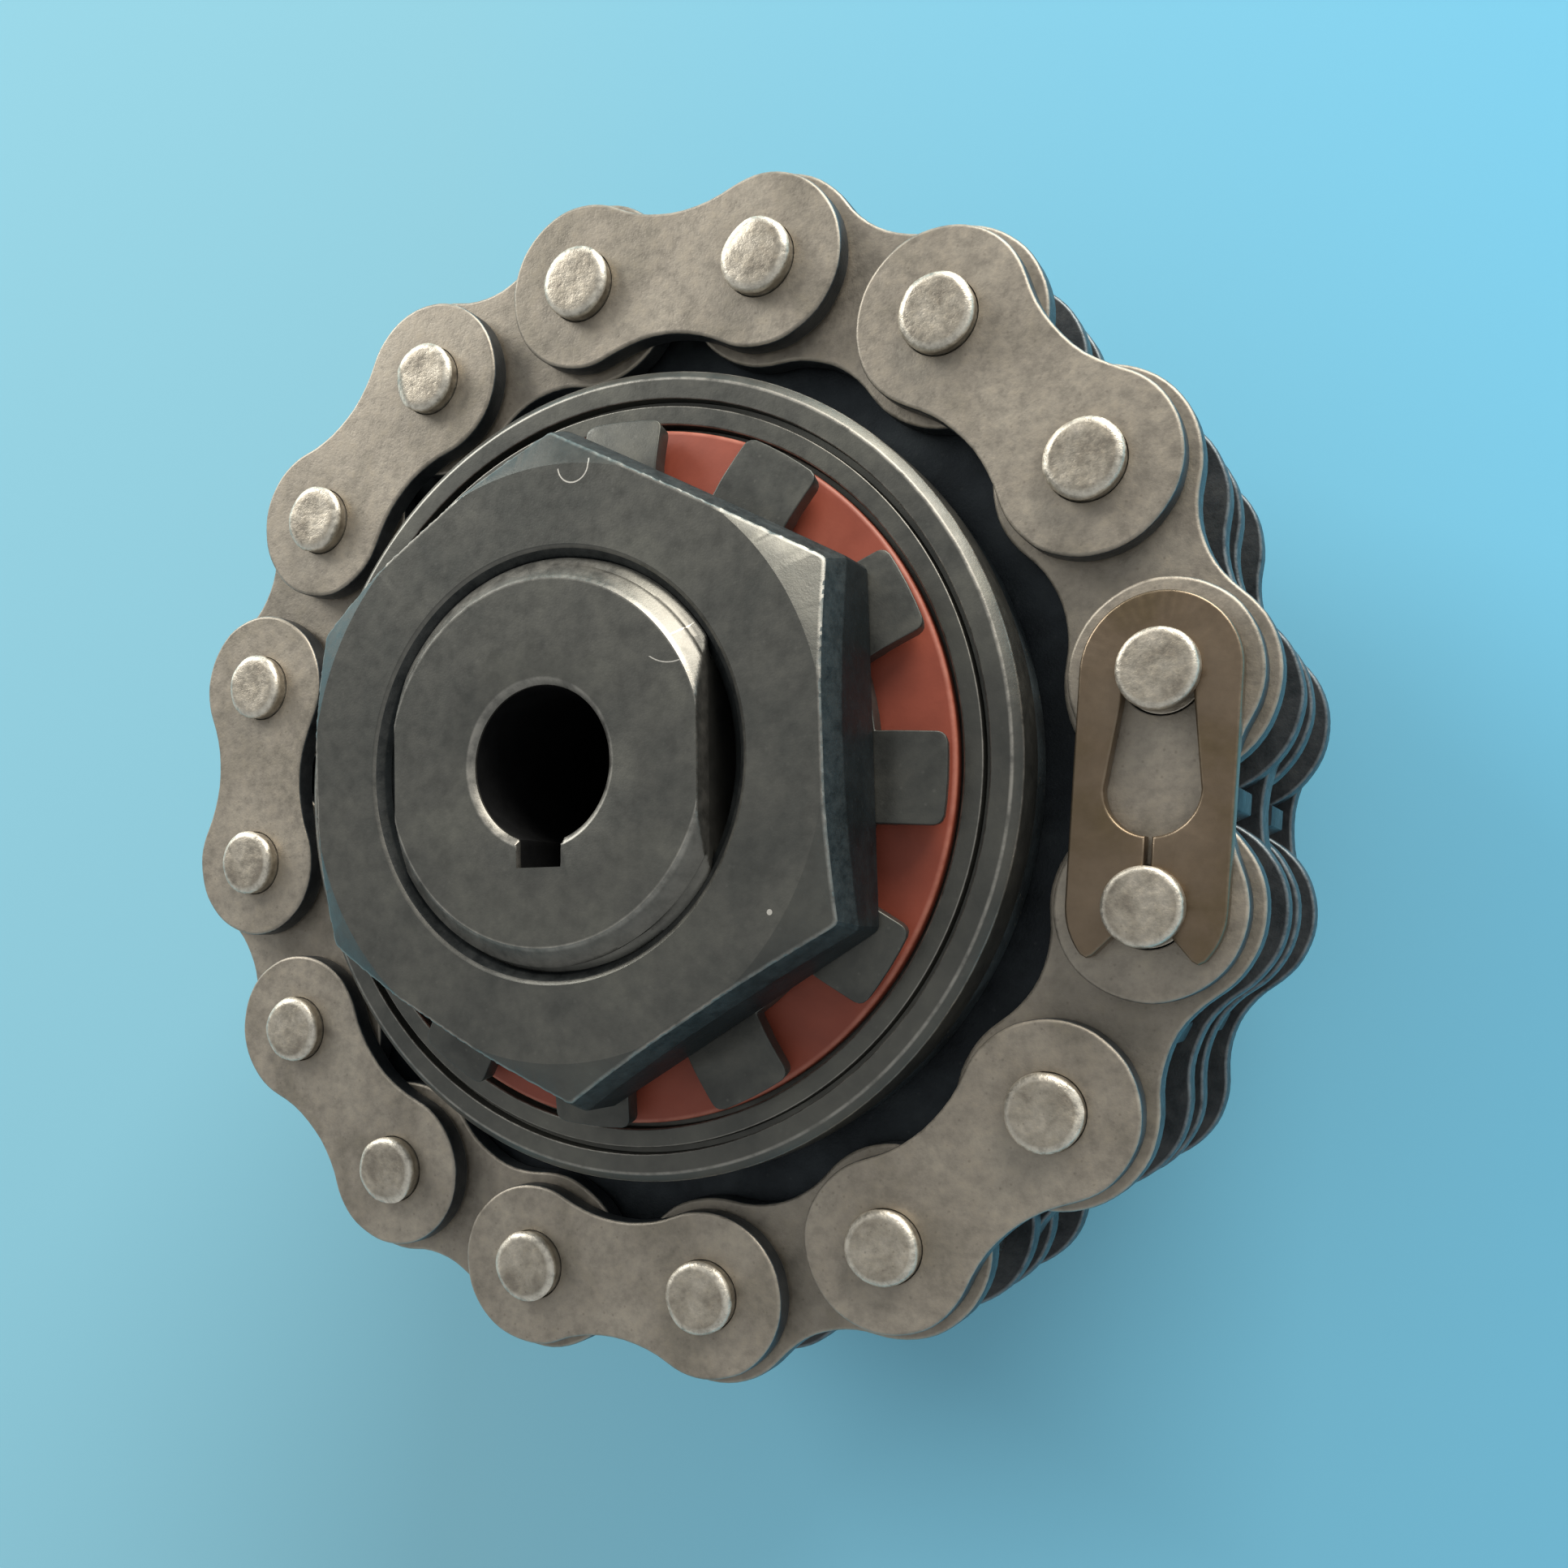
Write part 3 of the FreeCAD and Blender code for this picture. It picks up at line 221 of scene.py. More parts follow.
def rounded(corners, steps=3):
    # (r, z, fillet) corners to a closed half section of (r, z, pale edge share) points, the pale
    # edge being partly worn and partly painted highlight
    section = []
    for i, (r, z, fillet) in enumerate(corners):
        here = Vector((r, z))
        before = Vector(corners[i - 1][:2]) - here
        after = Vector(corners[(i + 1) % len(corners)][:2]) - here
        reach = min(fillet, before.length * 0.45, after.length * 0.45)
        if reach <= 0:
            section.append((r, z, 0.0))
            continue
        start, end = here + before.normalized() * reach, here + after.normalized() * reach
        hollow = before.normalized().cross(after.normalized()) > 0
        for k in range(steps + 1):
            t = k / steps
            point = start * (1 - t) ** 2 + here * 2 * t * (1 - t) + end * t ** 2
            section.append((point.x, point.y, 0.0 if hollow else math.sin(math.pi * t)))
    return section


def turned(form, section, count=96, centre=(0, 0), shape=None, solid=False):
    # shape(angle, r, z) may change the radius, for flats or threads; solid closes both ends
    angles = [2 * math.pi * i / count for i in range(count)]
    rings = []
    for r, z, wear in section:
        radii = [shape(a, r, z) if shape else r for a in angles]
        rings.append(form.ring([(centre[0] + q * math.cos(a), centre[1] + q * math.sin(a), z)
                                for a, q in zip(angles, radii)], wear))
    form.skin(rings, looped=not solid)
    if solid:
        form.fill(rings[0])
        form.fill(rings[-1])


def slab(form, outline, holes, low, high, edge, steps=3):
    # plate with rounded edges: (level, distance in from the outline, pale edge share: partly worn,
    # partly painted highlight)
    levels = []
    for k in range(steps + 1):
        t = math.pi / 2 * k / steps
        levels.append((low + edge * (1 - math.cos(t)), edge * (1 - math.sin(t)), math.sin(2 * t)))
    levels += [(low + high - z, away, wear) for z, away, wear in reversed(levels)]
    ends = []
    for number, loop in enumerate([outline] + holes):
        side = -0.5 if number else 1
        rings = [form.ring([(x, y, z) for x, y in inset(loop, side * away)], wear)
                 for z, away, wear in levels]
        form.skin(rings)
        ends.append((rings[0], rings[-1]))
    form.fill(*[bottom for bottom, top in ends])
    form.fill(*[top for bottom, top in ends])


def makePiece(name, form, material, node, sharp=35, bend=None):
    # bend, when given, only bakes the piece's placement into its mesh; the body and the two points
    # it names are not used
    bmesh.ops.recalc_face_normals(form.mesh, faces=form.mesh.faces)
    mesh = bpy.data.meshes.new(name)
    form.mesh.to_mesh(mesh)
    form.mesh.free()
    mesh.polygons.foreach_set("use_smooth", [True] * len(mesh.polygons))
    mesh.set_sharp_from_angle(angle=math.radians(sharp))
    mesh.materials.append(material)
    piece = bpy.data.objects.new(name, mesh)
    scene.collection.objects.link(piece)
    steady = piece.modifiers.new("even shading", "WEIGHTED_NORMAL")
    steady.keep_sharp = True
    if bend:
        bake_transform(piece)
    else:
        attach(piece, bodyOf[node])
    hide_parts(node)
    return piece


def coat(piece, material, chosen):
    # a second material on the faces that chosen picks by place in mm and normal
    piece.data.materials.append(material)
    for face in piece.data.polygons:
        if chosen(face.center / mm, face.normal):
            face.material_index = 1


def softenEdges(piece, name, values):
    soften = piece.modifiers.new(name, "BEVEL")
    soften.width = values["edge"] * mm
    soften.segments = values["steps"]
    soften.limit_method = "ANGLE"
    soften.angle_limit = math.radians(values["sharp"])


def levelsOf(node):
    low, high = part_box(node)
    return low.z / mm, high.z / mm


# materials

def surface(name, values):
    # one recipe for steels, bronze, paint and lining: clouds, fine specks, grain, pale edges that
    # are partly worn and partly painted highlight
    material = bpy.data.materials.new(name)
    tree = newTree(material)
    place = addNode(tree, "ShaderNodeTexCoord").outputs["Object"]
    clouds = addNode(tree, "ShaderNodeTexNoise", Vector=place, Scale=1 / (values["cloud"] * mm),
                     Detail=5.0, Roughness=0.6, Distortion=0.3)
    cloudTint = addNode(tree, "ShaderNodeValToRGB", {"stops": [
        (0.36, toLinear(values["dark"])), (0.5, toLinear(values["main"])),
        (0.66, toLinear(values["pale"]))]}, Fac=clouds.outputs["Fac"])
    mottle = addNode(tree, "ShaderNodeTexNoise", Vector=place, Scale=1 / (values["mottle"] * mm),
                     Detail=4.0, Roughness=0.7)
    mottleTint = addNode(tree, "ShaderNodeValToRGB", {"stops": [
        (0.35, (0.8, 0.8, 0.8, 1)), (0.5, (1, 1, 1, 1)), (0.68, (1.18, 1.17, 1.14, 1))]},
        Fac=mottle.outputs["Fac"])
    mixed = addNode(tree, "ShaderNodeMix", {"data_type": "RGBA", "blend_type": "MULTIPLY"},
                    Factor=values["mottleShare"], A_Color=cloudTint.outputs["Color"],
                    B_Color=mottleTint.outputs["Color"])
    speck = addNode(tree, "ShaderNodeTexVoronoi", {"feature": "F1"}, Vector=place,
                    Scale=1 / (values["speck"] * mm), Randomness=1.0)
    speckMask = addNode(tree, "ShaderNodeMapRange", Value=speck.outputs["Distance"], FromMin=0.05,
                        FromMax=0.16, ToMin=values["speckShare"], ToMax=0.0)
    specked = addNode(tree, "ShaderNodeMix", {"data_type": "RGBA"},
                      Factor=speckMask.outputs["Result"], A_Color=mixed.outputs[2],
                      B_Color=toLinear(values["speckTint"]))
    # pale edges: partly worn, partly painted highlight
    wear = addNode(tree, "ShaderNodeAttribute", {"attribute_name": "wear"}).outputs["Fac"]
    patchyWearAndSheen = addNode(tree, "ShaderNodeMapRange", Value=mottle.outputs["Fac"], FromMin=0.3,
                  FromMax=0.6, ToMin=0.25, ToMax=1.0)
    rubbed = addNode(tree, "ShaderNodeMath", {"operation": "MULTIPLY", "use_clamp": True},
                     Value=wear, Value_001=patchyWearAndSheen.outputs["Result"])
    wearAndSheenMask = addNode(tree, "ShaderNodeMath", {"operation": "MULTIPLY"},
                      Value=rubbed.outputs[0], Value_001=values["rubbed"])
    tint = addNode(tree, "ShaderNodeMix", {"data_type": "RGBA"}, Factor=wearAndSheenMask.outputs[0],
                   A_Color=specked.outputs[2], B_Color=toLinear(values["bare"]))
    grain = addNode(tree, "ShaderNodeTexNoise", Vector=place, Scale=1 / (values["grain"] * mm),
                    Detail=3.0, Roughness=0.6)
    rough = addNode(tree, "ShaderNodeMapRange", Value=mottle.outputs["Fac"], FromMin=0.3,
                    FromMax=0.7, ToMin=values["rough"] - values["roughSwing"],
                    ToMax=values["rough"] + values["roughSwing"])
    soft = addNode(tree, "ShaderNodeBump", Height=mottle.outputs["Fac"],
                   Strength=values["waves"], Distance=0.1 * mm)
    bump = addNode(tree, "ShaderNodeBump", Height=grain.outputs["Fac"], Strength=values["bite"],
                   Distance=0.02 * mm, Normal=soft.outputs["Normal"])
    colour = tint.outputs[2]
    for at, radius, width, towards, share in values.get("marks", ()):
        # a scratch along part of a circle of this radius, or a fleck, in mm
        off = addNode(tree, "ShaderNodeVectorMath", {"operation": "SUBTRACT"}, Vector=place,
                      Vector_001=[c * mm for c in at])
        reach = addNode(tree, "ShaderNodeVectorMath", {"operation": "LENGTH"},
                        Vector=off.outputs["Vector"])
        line = addNode(tree, "ShaderNodeMath", {"operation": "COMPARE"},
                       Value=reach.outputs["Value"], Value_001=radius * mm, Value_002=width * mm)
        side = addNode(tree, "ShaderNodeVectorMath", {"operation": "DOT_PRODUCT"},
                       Vector=off.outputs["Vector"], Vector_001=towards)
        kept = addNode(tree, "ShaderNodeMath", {"operation": "GREATER_THAN"},
                       Value=side.outputs["Value"], Value_001=radius * share * mm)
        scratch = addNode(tree, "ShaderNodeMath", {"operation": "MULTIPLY"},
                          Value=line.outputs[0], Value_001=kept.outputs[0])
        colour = addNode(tree, "ShaderNodeMix", {"data_type": "RGBA"},
                         Factor_Float=scratch.outputs[0], A_Color=colour,
                         B_Color=toLinear(values["bare"])).outputs[2]
    skin = addNode(tree, "ShaderNodeBsdfPrincipled", BaseColor=colour,
                   Metallic=values["metal"], Roughness=rough.outputs["Result"],
                   Normal=bump.outputs["Normal"])
    addNode(tree, "ShaderNodeOutputMaterial", Surface=skin.outputs[0])
    return material


# blued and oiled turned steel: dark warm grey with soft clouds, bright on the edges, partly worn
# and partly painted highlight
bluedSteel = surface("blued turned steel", {
    "main": "#64645f", "dark": "#5a5b57", "pale": "#6f6f68", "bare": "#d8d4ca",
    "cloud": 7.0, "mottle": 1.2, "mottleShare": 0.35, "speck": 0.9, "speckShare": 0.12,
    "speckTint": "#8c8b84", "grain": 0.12, "rough": 0.42, "roughSwing": 0.08, "waves": 0.15,
    "bite": 0.35, "metal": 0.85, "rubbed": 0.45, "marks": [
        ((1.9, 16.95, 54.10), 1.0, 0.04, (0.2, -1, 0), -0.1),           # hook near the nut's corner
        ((13.91, -8.66, 54.10), 0.08, 0.08, (0, 0, 0), -2),             # pale fleck on the nut
        ((8.58, 7.19, 55.10), 2.18, 0.03, (-0.18, -0.98, 0), 0.896),    # hair scratch on the hub
        ((4.97, 11.42, 54.35), 6.0, 0.04, (0.64, -0.77, 0), 0.9936)]})  # scratch across its bevel
# blued stamped strip: as the hub, a little darker and flatter
bluedStrip = surface("blued stamped strip", {
    "main": "#5a5b57", "dark": "#4f504d", "pale": "#666660", "bare": "#e2ded4",
    "cloud": 4.0, "mottle": 0.9, "mottleShare": 0.25, "speck": 0.8, "speckShare": 0.15,
    "speckTint": "#9a9990", "grain": 0.1, "rough": 0.45, "roughSwing": 0.08, "waves": 0.12,
    "bite": 0.3, "metal": 0.85, "rubbed": 0.9})
# case-hardened, shot-peened and oiled plate: warm mottled grey with a soft pale rim, partly worn
# and partly painted highlight
peenedPlate = surface("shot-peened chain plate", {
    "main": "#a0988b", "dark": "#918a7d", "pale": "#aca496", "bare": "#dcd6c8",
    "cloud": 5.0, "mottle": 0.8, "mottleShare": 0.75, "speck": 0.7, "speckShare": 0.4,
    "speckTint": "#6f685d", "grain": 0.16, "rough": 0.48, "roughSwing": 0.1, "waves": 0.3,
    "bite": 0.6, "metal": 0.6, "rubbed": 0.25})
# blanked edges full of old oil, dark charcoal; on the upward faces of the lower plate layers the
# same colour is painted shade; the pale rims are partly worn and partly painted highlight
oilyEdgeAndPaintedShade = surface("oily edge and painted shade", {
    "main": "#43474a", "dark": "#353a3d", "pale": "#505354", "bare": "#a4b0b4",
    "cloud": 3.0, "mottle": 0.7, "mottleShare": 0.5, "speck": 0.6, "speckShare": 0.2,
    "speckTint": "#2a2d2e", "grain": 0.14, "rough": 0.42, "roughSwing": 0.1, "waves": 0.3,
    "bite": 0.6, "metal": 0.6, "rubbed": 0.5})
# case-hardened pin, ends spread by the riveting punch: pale rim, partly worn and partly painted
# highlight; mottled face
rivetedSteel = surface("riveted pin steel", {
    "main": "#b2aa9b", "dark": "#978f82", "pale": "#c6beaf", "bare": "#f2ecdd",
    "cloud": 1.8, "mottle": 0.5, "mottleShare": 0.6, "speck": 0.5, "speckShare": 0.4,
    "speckTint": "#6f685e", "grain": 0.1, "rough": 0.42, "roughSwing": 0.12, "waves": 0.5,
    "bite": 0.5, "metal": 0.8, "rubbed": 1.0})
# hardened spring strip, tempered: smooth brown satin
temperedStrip = surface("tempered spring strip", {
    "main": "#7f6f5c", "dark": "#74654f", "pale": "#897966", "bare": "#cfc4ae",
    "cloud": 6.0, "mottle": 1.0, "mottleShare": 0.2, "speck": 0.9, "speckShare": 0.1,
    "speckTint": "#5a5044", "grain": 0.08, "rough": 0.36, "roughSwing": 0.06, "waves": 0.1,
    "bite": 0.2, "metal": 0.85, "rubbed": 0.15})
# hardened rollers and bushes, polished by running: darker, smoother, oily
runSteel = surface("run-in roller steel", {
    "main": "#7c7873", "dark": "#68655f", "pale": "#908b84", "bare": "#cdc8be",
    "cloud": 3.0, "mottle": 0.7, "mottleShare": 0.4, "speck": 0.6, "speckShare": 0.2,
    "speckTint": "#4b4944", "grain": 0.08, "rough": 0.28, "roughSwing": 0.08, "waves": 0.15,
    "bite": 0.2, "metal": 0.9, "rubbed": 0.6})
# flame-cut and turned sprocket steel, blackened: nearly black, dull
blackSteel = surface("blackened sprocket steel", {
    "main": "#30363a", "dark": "#262b2f", "pale": "#3d4346", "bare": "#8e8e8a",
    "cloud": 6.0, "mottle": 1.2, "mottleShare": 0.4, "speck": 0.9, "speckShare": 0.15,
    "speckTint": "#5d5f5e", "grain": 0.15, "rough": 0.45, "roughSwing": 0.1, "waves": 0.2,
    "bite": 0.4, "metal": 0.7, "rubbed": 0.6})
# painted disc spring: flat red-oxide primer, paler at the edges, partly thin paint and partly
# painted highlight
redOxide = surface("red oxide paint", {
    "main": "#9c4c38", "dark": "#904431", "pale": "#a65641", "bare": "#d0907c",
    "cloud": 8.0, "mottle": 1.5, "mottleShare": 0.18, "speck": 1.2, "speckShare": 0.1,
    "speckTint": "#8a3f2e", "grain": 0.2, "rough": 0.5, "roughSwing": 0.05, "waves": 0.1,
    "bite": 0.2, "metal": 0.0, "rubbed": 0.5})
# pressed friction lining, ground flat: dull dark slate with pale fibres
pressedLining = surface("pressed friction lining", {
    "main": "#3c474b", "dark": "#31393c", "pale": "#4c585c", "bare": "#6a7578",
    "cloud": 3.0, "mottle": 0.6, "mottleShare": 0.6, "speck": 0.8, "speckShare": 0.6,
    "speckTint": "#8b8471", "grain": 0.2, "rough": 0.8, "roughSwing": 0.08, "waves": 0.5,
    "bite": 0.8, "metal": 0.0, "rubbed": 0.5})
# oil-soaked sintered bronze: dull yellow-brown, open pores
sinteredBronze = surface("sintered bronze", {
    "main": "#9a7a4c", "dark": "#876a40", "pale": "#ac8a5a", "bare": "#c9a873",
    "cloud": 3.0, "mottle": 0.5, "mottleShare": 0.5, "speck": 0.35, "speckShare": 0.6,
    "speckTint": "#4a3a24", "grain": 0.1, "rough": 0.5, "roughSwing": 0.1, "waves": 0.3,
    "bite": 0.6, "metal": 0.8, "rubbed": 0.4})
# painted shade for the bore: bored steel coloured almost black, as it lies out of the light
paintedShadeBore = surface("bore in painted shade", {
    "main": "#1c1d1e", "dark": "#161718", "pale": "#232425", "bare": "#3a3a38",
    "cloud": 4.0, "mottle": 1.0, "mottleShare": 0.2, "speck": 0.9, "speckShare": 0.05,
    "speckTint": "#2c2c2a", "grain": 0.12, "rough": 0.6, "roughSwing": 0.05, "waves": 0.1,
    "bite": 0.3, "metal": 0.6, "rubbed": 0.0})
# painted shade for the nut's wrench flats and the thread in its bore: nearly black beside the
# turned face, as they lie out of the light
paintedShadeFlats = surface("nut flats in painted shade", {
    "main": "#2b3032", "dark": "#232829", "pale": "#373b3c", "bare": "#9a9b96",
    "cloud": 4.0, "mottle": 0.8, "mottleShare": 0.4, "speck": 0.8, "speckShare": 0.15,
    "speckTint": "#6a6b68", "grain": 0.14, "rough": 0.5, "roughSwing": 0.08, "waves": 0.2,
    "bite": 0.4, "metal": 0.75, "rubbed": 0.35})
print("materials ready")


# chain

chain = {
    "links": 16, "pitch": 12.7, "turn": 7.3,
    "rear": 21.70, "front": 35.62,          # middle of each strand
    "innerEnd": 5.9, "innerWaist": 4.15, "outerEnd": 5.25, "outerWaist": 3.8,
    "inner": 1.6, "outer": 1.6, "middle": 2.49,
    "innerWidth": 7.75, "outerWidth": 11.43, "proud": 1.1,
    "pin": 2.225, "bush": 3.1, "bushBore": 2.265, "bushLength": 11.29,
    "roller": 4.255, "rollerBore": 3.14, "rollerLength": 7.51, "rollerEdge": 0.3, "edge": 0.24,
    "upright": 0.45,      # a face whose normal rises less than this is an edge
    "dryGap": 1,          # painted shade starts on upward faces this far and two plates under the front plates
}
half = chain["pitch"] / 2
step = 360 / chain["links"]
linkOut = half / math.tan(math.radians(step / 2))
pinOut = half / math.sin(math.radians(step / 2))
rearFoot = chain["rear"] - chain["outerWidth"] / 2 - chain["outer"]
middleFoot = chain["rear"] + chain["outerWidth"] / 2
frontFoot = chain["front"] + chain["outerWidth"] / 2
frontTop = frontFoot + chain["outer"]


def linkPlace(steps, out=linkOut):
    turn = math.radians(chain["turn"] + steps * step)
    return Matrix.Rotation(turn, 4, "Z") @ Matrix.Translation((out * mm, 0, 0))


def plateOutline(kind, steps=10):
    end, waist = chain[kind + "End"], chain[kind + "Waist"]
    hollow = (half ** 2 + waist ** 2 - end ** 2) / (2 * (end - waist))
    reach = waist + hollow
    lean = math.degrees(math.atan2(half, reach))
    return (arc(0, half, end, -lean, 180 + lean, 4 * steps)
            + arc(-reach, 0, hollow, lean, -lean, steps)
            + arc(0, -half, end, 180 - lean, 360 + lean, 4 * steps)
            + arc(reach, 0, hollow, 180 + lean, 180 - lean, steps))


def uneven(outline, chance, size=0.05):
    # blanked edges wander a little
    shift = chance.uniform(0, 100)
    return [(x + size * noise.noise((x * 0.5, y * 0.5, shift)),
             y + size * noise.noise((x * 0.5, y * 0.5, shift + 9))) for x, y in outline]


def linkPlates(kind, feet, thick, hole, chance):
    form = Form()
    for foot in feet:
        holes = [arc(0, side * half, hole, 0, 360, 40) for side in (1, -1)]
        slab(form, uneven(plateOutline(kind), chance), holes, foot, foot + thick, chain["edge"])
    return form


def placePlates(name, form, place, node):
    # edges take the oily edge colour; upward faces of the lower layers take it as painted shade, as
    # the front plates shade them
    form.place(place)
    plates = makePiece(name, form, peenedPlate, node)
    shadedBelow, upright = frontFoot - 2 * chain["outer"] - chain["dryGap"], chain["upright"]
    coat(plates, oilyEdgeAndPaintedShade, lambda at, facing: abs(facing.z) < upright
         or (facing.z > upright and at.z < shadedBelow))


rivet = {
    "ripple": 1.4, "swell": 0.035, "dent": 0.05, "deep": 0.5,       # uneven rim and dented face
    "facetShare": 0.35, "facetFrom": 0.62, "facetSlope": 0.55,      # some ends have a facet
}


def rivetHead(chance):
    # rings of a spread pin end, from the shank to the middle of the face
    shift = chance.uniform(0, 100)
    facet = chance.random() < rivet["facetShare"]
    lean = 1.0 + chance.uniform(-0.3, 0.3)
    facing = Vector((math.cos(lean), math.sin(lean)))
    section = [(1.0, 1.0, 0), (1.0, 0.62, 0), (1.03, 0.42, 0.5), (1.01, 0.26, 1), (0.95, 0.12, 1),
               (0.87, 0.04, 0.6), (0.8, 0.0, 0.0), (0.6, 0.0, 0), (0.35, 0.01, 0), (0.12, 0.01, 0)]
    return shift, facet, facing, section


def addPin(form, x, y, low, high, chance, count=40):
    angles = [2 * math.pi * i / count for i in range(count)]
    radius = chain["pin"]
    rings = []
    for end, level in ((-1, low), (1, high)):
        shift, facet, facing, section = rivetHead(chance)
        made = []
        for share, depth, wear in section:
            points = []
            for a in angles:
                across, up = math.cos(a), math.sin(a)
                swell = noise.noise((across * rivet["ripple"], up * rivet["ripple"], shift + depth))
                r = radius * share * (1 + (rivet["swell"] * swell if wear else 0))
                dent = noise.noise((across * r, up * r, shift))
                z = depth + rivet["dent"] * dent * (depth < rivet["deep"])
                if facet and depth < rivet["deep"]:
                    lean = facing.dot((across, up)) * r
                    z = max(z, (lean - radius * rivet["facetFrom"]) * rivet["facetSlope"])
                points.append((x + r * across, y + r * up, level - end * z))
            made.append(form.ring(points, wear))
        form.fill(made[-1])
        rings.append(made)
    form.skin(rings[0][::-1] + rings[1])


def addTube(form, x, y, outside, inside, low, high, edge=0.18, count=40):
    corners = [(inside, low, edge), (outside, low, edge),
               (outside, high, edge), (inside, high, edge)]
    turned(form, rounded(corners), count, (x, y))


chance = random.Random(11)
for number in range(chain["links"] // 2):
    node = f"inner_link_{number + 1}"
    place = linkPlace(2 * number + 0.5)
    feet = [middle + side * chain["innerWidth"] / 2 - (chain["inner"] if side < 0 else 0)
            for middle in (chain["rear"], chain["front"]) for side in (-1, 1)]
    form = linkPlates("inner", feet, chain["inner"], chain["bush"] + 0.01, chance)
    placePlates(f"innerLink{number + 1}Plates", form, place, node)
    form = Form()
    for middle in (chain["rear"], chain["front"]):
        for side in (1, -1):
            addTube(form, 0, side * half, chain["bush"], chain["bushBore"],
                    middle - chain["bushLength"] / 2, middle + chain["bushLength"] / 2)
    form.place(place)
    makePiece(f"innerLink{number + 1}Bushes", form, runSteel, node)

for number in range(1, chain["links"] // 2):
    node = f"outer_link_{number}"
    place = linkPlace(2 * number - 0.5)
    form = linkPlates("outer", [rearFoot, frontFoot], chain["outer"], chain["pin"] + 0.01, chance)
    placePlates(f"outerLink{number}Plates", form, place, node)
    form = Form()
    for side in (1, -1):
        addPin(form, 0, side * half, rearFoot - chain["proud"], frontTop + chain["proud"], chance)
    form.place(place)
    makePiece(f"outerLink{number}Pins", form, rivetedSteel, node)
    form = linkPlates("outer", [middleFoot], chain["middle"], chain["pin"] + 0.04, chance)
    placePlates(f"middlePlate{number}", form, place, f"middle_plate_{number}")

for number in range(chain["links"]):
    form = Form()
    for middle in (chain["rear"], chain["front"]):
        addTube(form, 0, 0, chain["roller"], chain["rollerBore"],
                middle - chain["rollerLength"] / 2, middle + chain["rollerLength"] / 2,
                chain["rollerEdge"], count=48)
    form.place(linkPlace(number, pinOut))
    makePiece(f"rollerPair{number + 1:02d}", form, runSteel, f"roller_pair_{number + 1:02d}")
print("chain links, pins and rollers made")

clip = {
    "radius": 4.3, "thick": 1.1, "room": 0.05, "seat": 1.825, "keyhole": 2.55, "neck": 1.8,
    "slit": 0.175, "mouth": 2.95, "tipBack": 0.5, "tipTurn": 7,
    "edge": 0.18, "grooveRadius": 1.775, "head": 0.9,
}


def clipOutline():
    seat, wide, radius = clip["seat"], clip["keyhole"], clip["radius"]
    neckTop = half - seat / 2
    # the mouth runs straight from inside the seat to the tip of the leg, seen from the pin
    start = Vector((seat / 2, -seat / 2))
    tip = Vector((clip["mouth"], -math.sqrt(radius ** 2 - clip["mouth"] ** 2)))
    along = (tip - start).normalized()
    b = start.dot(along)
    inner = start + along * (math.sqrt(b * b - start.length_squared + seat ** 2) - b)
    innerAngle = math.degrees(math.atan2(inner.y, inner.x))
    tipAngle = math.degrees(math.atan2(tip.y, tip.x)) + clip["tipTurn"]
    lastOut = Vector((math.cos(math.radians(tipAngle)), math.sin(math.radians(tipAngle)))) * radius
    tipIn = tip - along * clip["tipBack"]
    tipMid = (tipIn + tip * 2 + lastOut) / 4
    slitAngle = math.degrees(math.acos(clip["slit"] / seat))
    holeAngle = math.degrees(math.acos(clip["slit"] / wide))
    side = (arc(0, half, seat, 90, -30, 14) + [(seat * math.cos(math.radians(-30)), neckTop)]
            + [(clip["neck"], neckTop)] + arc(0, 0, wide, 0, -holeAngle, 14)
            + [(clip["slit"], -wide * math.sin(math.radians(holeAngle)))]
            + arc(0, -half, seat, slitAngle, innerAngle, 16)
            + [(point.x, point.y - half) for point in (inner, tipIn, tipMid)]
            + arc(0, -half, radius, tipAngle, 0, 14) + [(radius, -half)]
            + [(radius, -half + chain["pitch"] * i / 8) for i in range(1, 8)]
            + arc(0, half, radius, 0, 90, 20))
    mirrored = [(-x, y) for x, y in reversed(side[1:])]
    return side + [(0, half + radius)] + mirrored


chance = random.Random(5)
place = linkPlace(-0.5)
form = linkPlates("outer", [frontFoot], chain["outer"], chain["pin"] + 0.04, chance)
placePlates("connectingSidePlate", form, place, "connecting_side_plate")
form = linkPlates("outer", [middleFoot], chain["middle"], chain["pin"] + 0.04, chance)
placePlates("connectingMiddlePlate", form, place, "connecting_middle_plate")
form = linkPlates("outer", [rearFoot], chain["outer"], chain["pin"] + 0.01, chance)
placePlates("connectingRearPlate", form, place, "connecting_pin_link")
form = Form()
grooveTop = frontTop + clip["thick"] + 2 * clip["room"]
for side in (1, -1):
    low, high = rearFoot - chain["proud"], grooveTop + clip["head"]
    corners = [(0.4, low, 0), (chain["pin"], low, 0.35), (chain["pin"], frontTop, 0.06),
               (clip["grooveRadius"], frontTop, 0.05), (clip["grooveRadius"], grooveTop, 0.05),
               (chain["pin"], grooveTop, 0.08), (chain["pin"], high, 0.45), (0.4, high, 0)]
    turned(form, rounded(corners, 4), 48, (0, side * half), solid=True)
form.place(place)
makePiece("connectingPins", form, rivetedSteel, "connecting_pin_link")
form = Form()
clipFoot = frontTop + clip["room"]
slab(form, clipOutline(), [], clipFoot, clipFoot + clip["thick"], clip["edge"])
form.place(place)
makePiece("springClip", form, temperedStrip, "spring_clip")
print("connecting link made")


# hub, nut and the friction stack

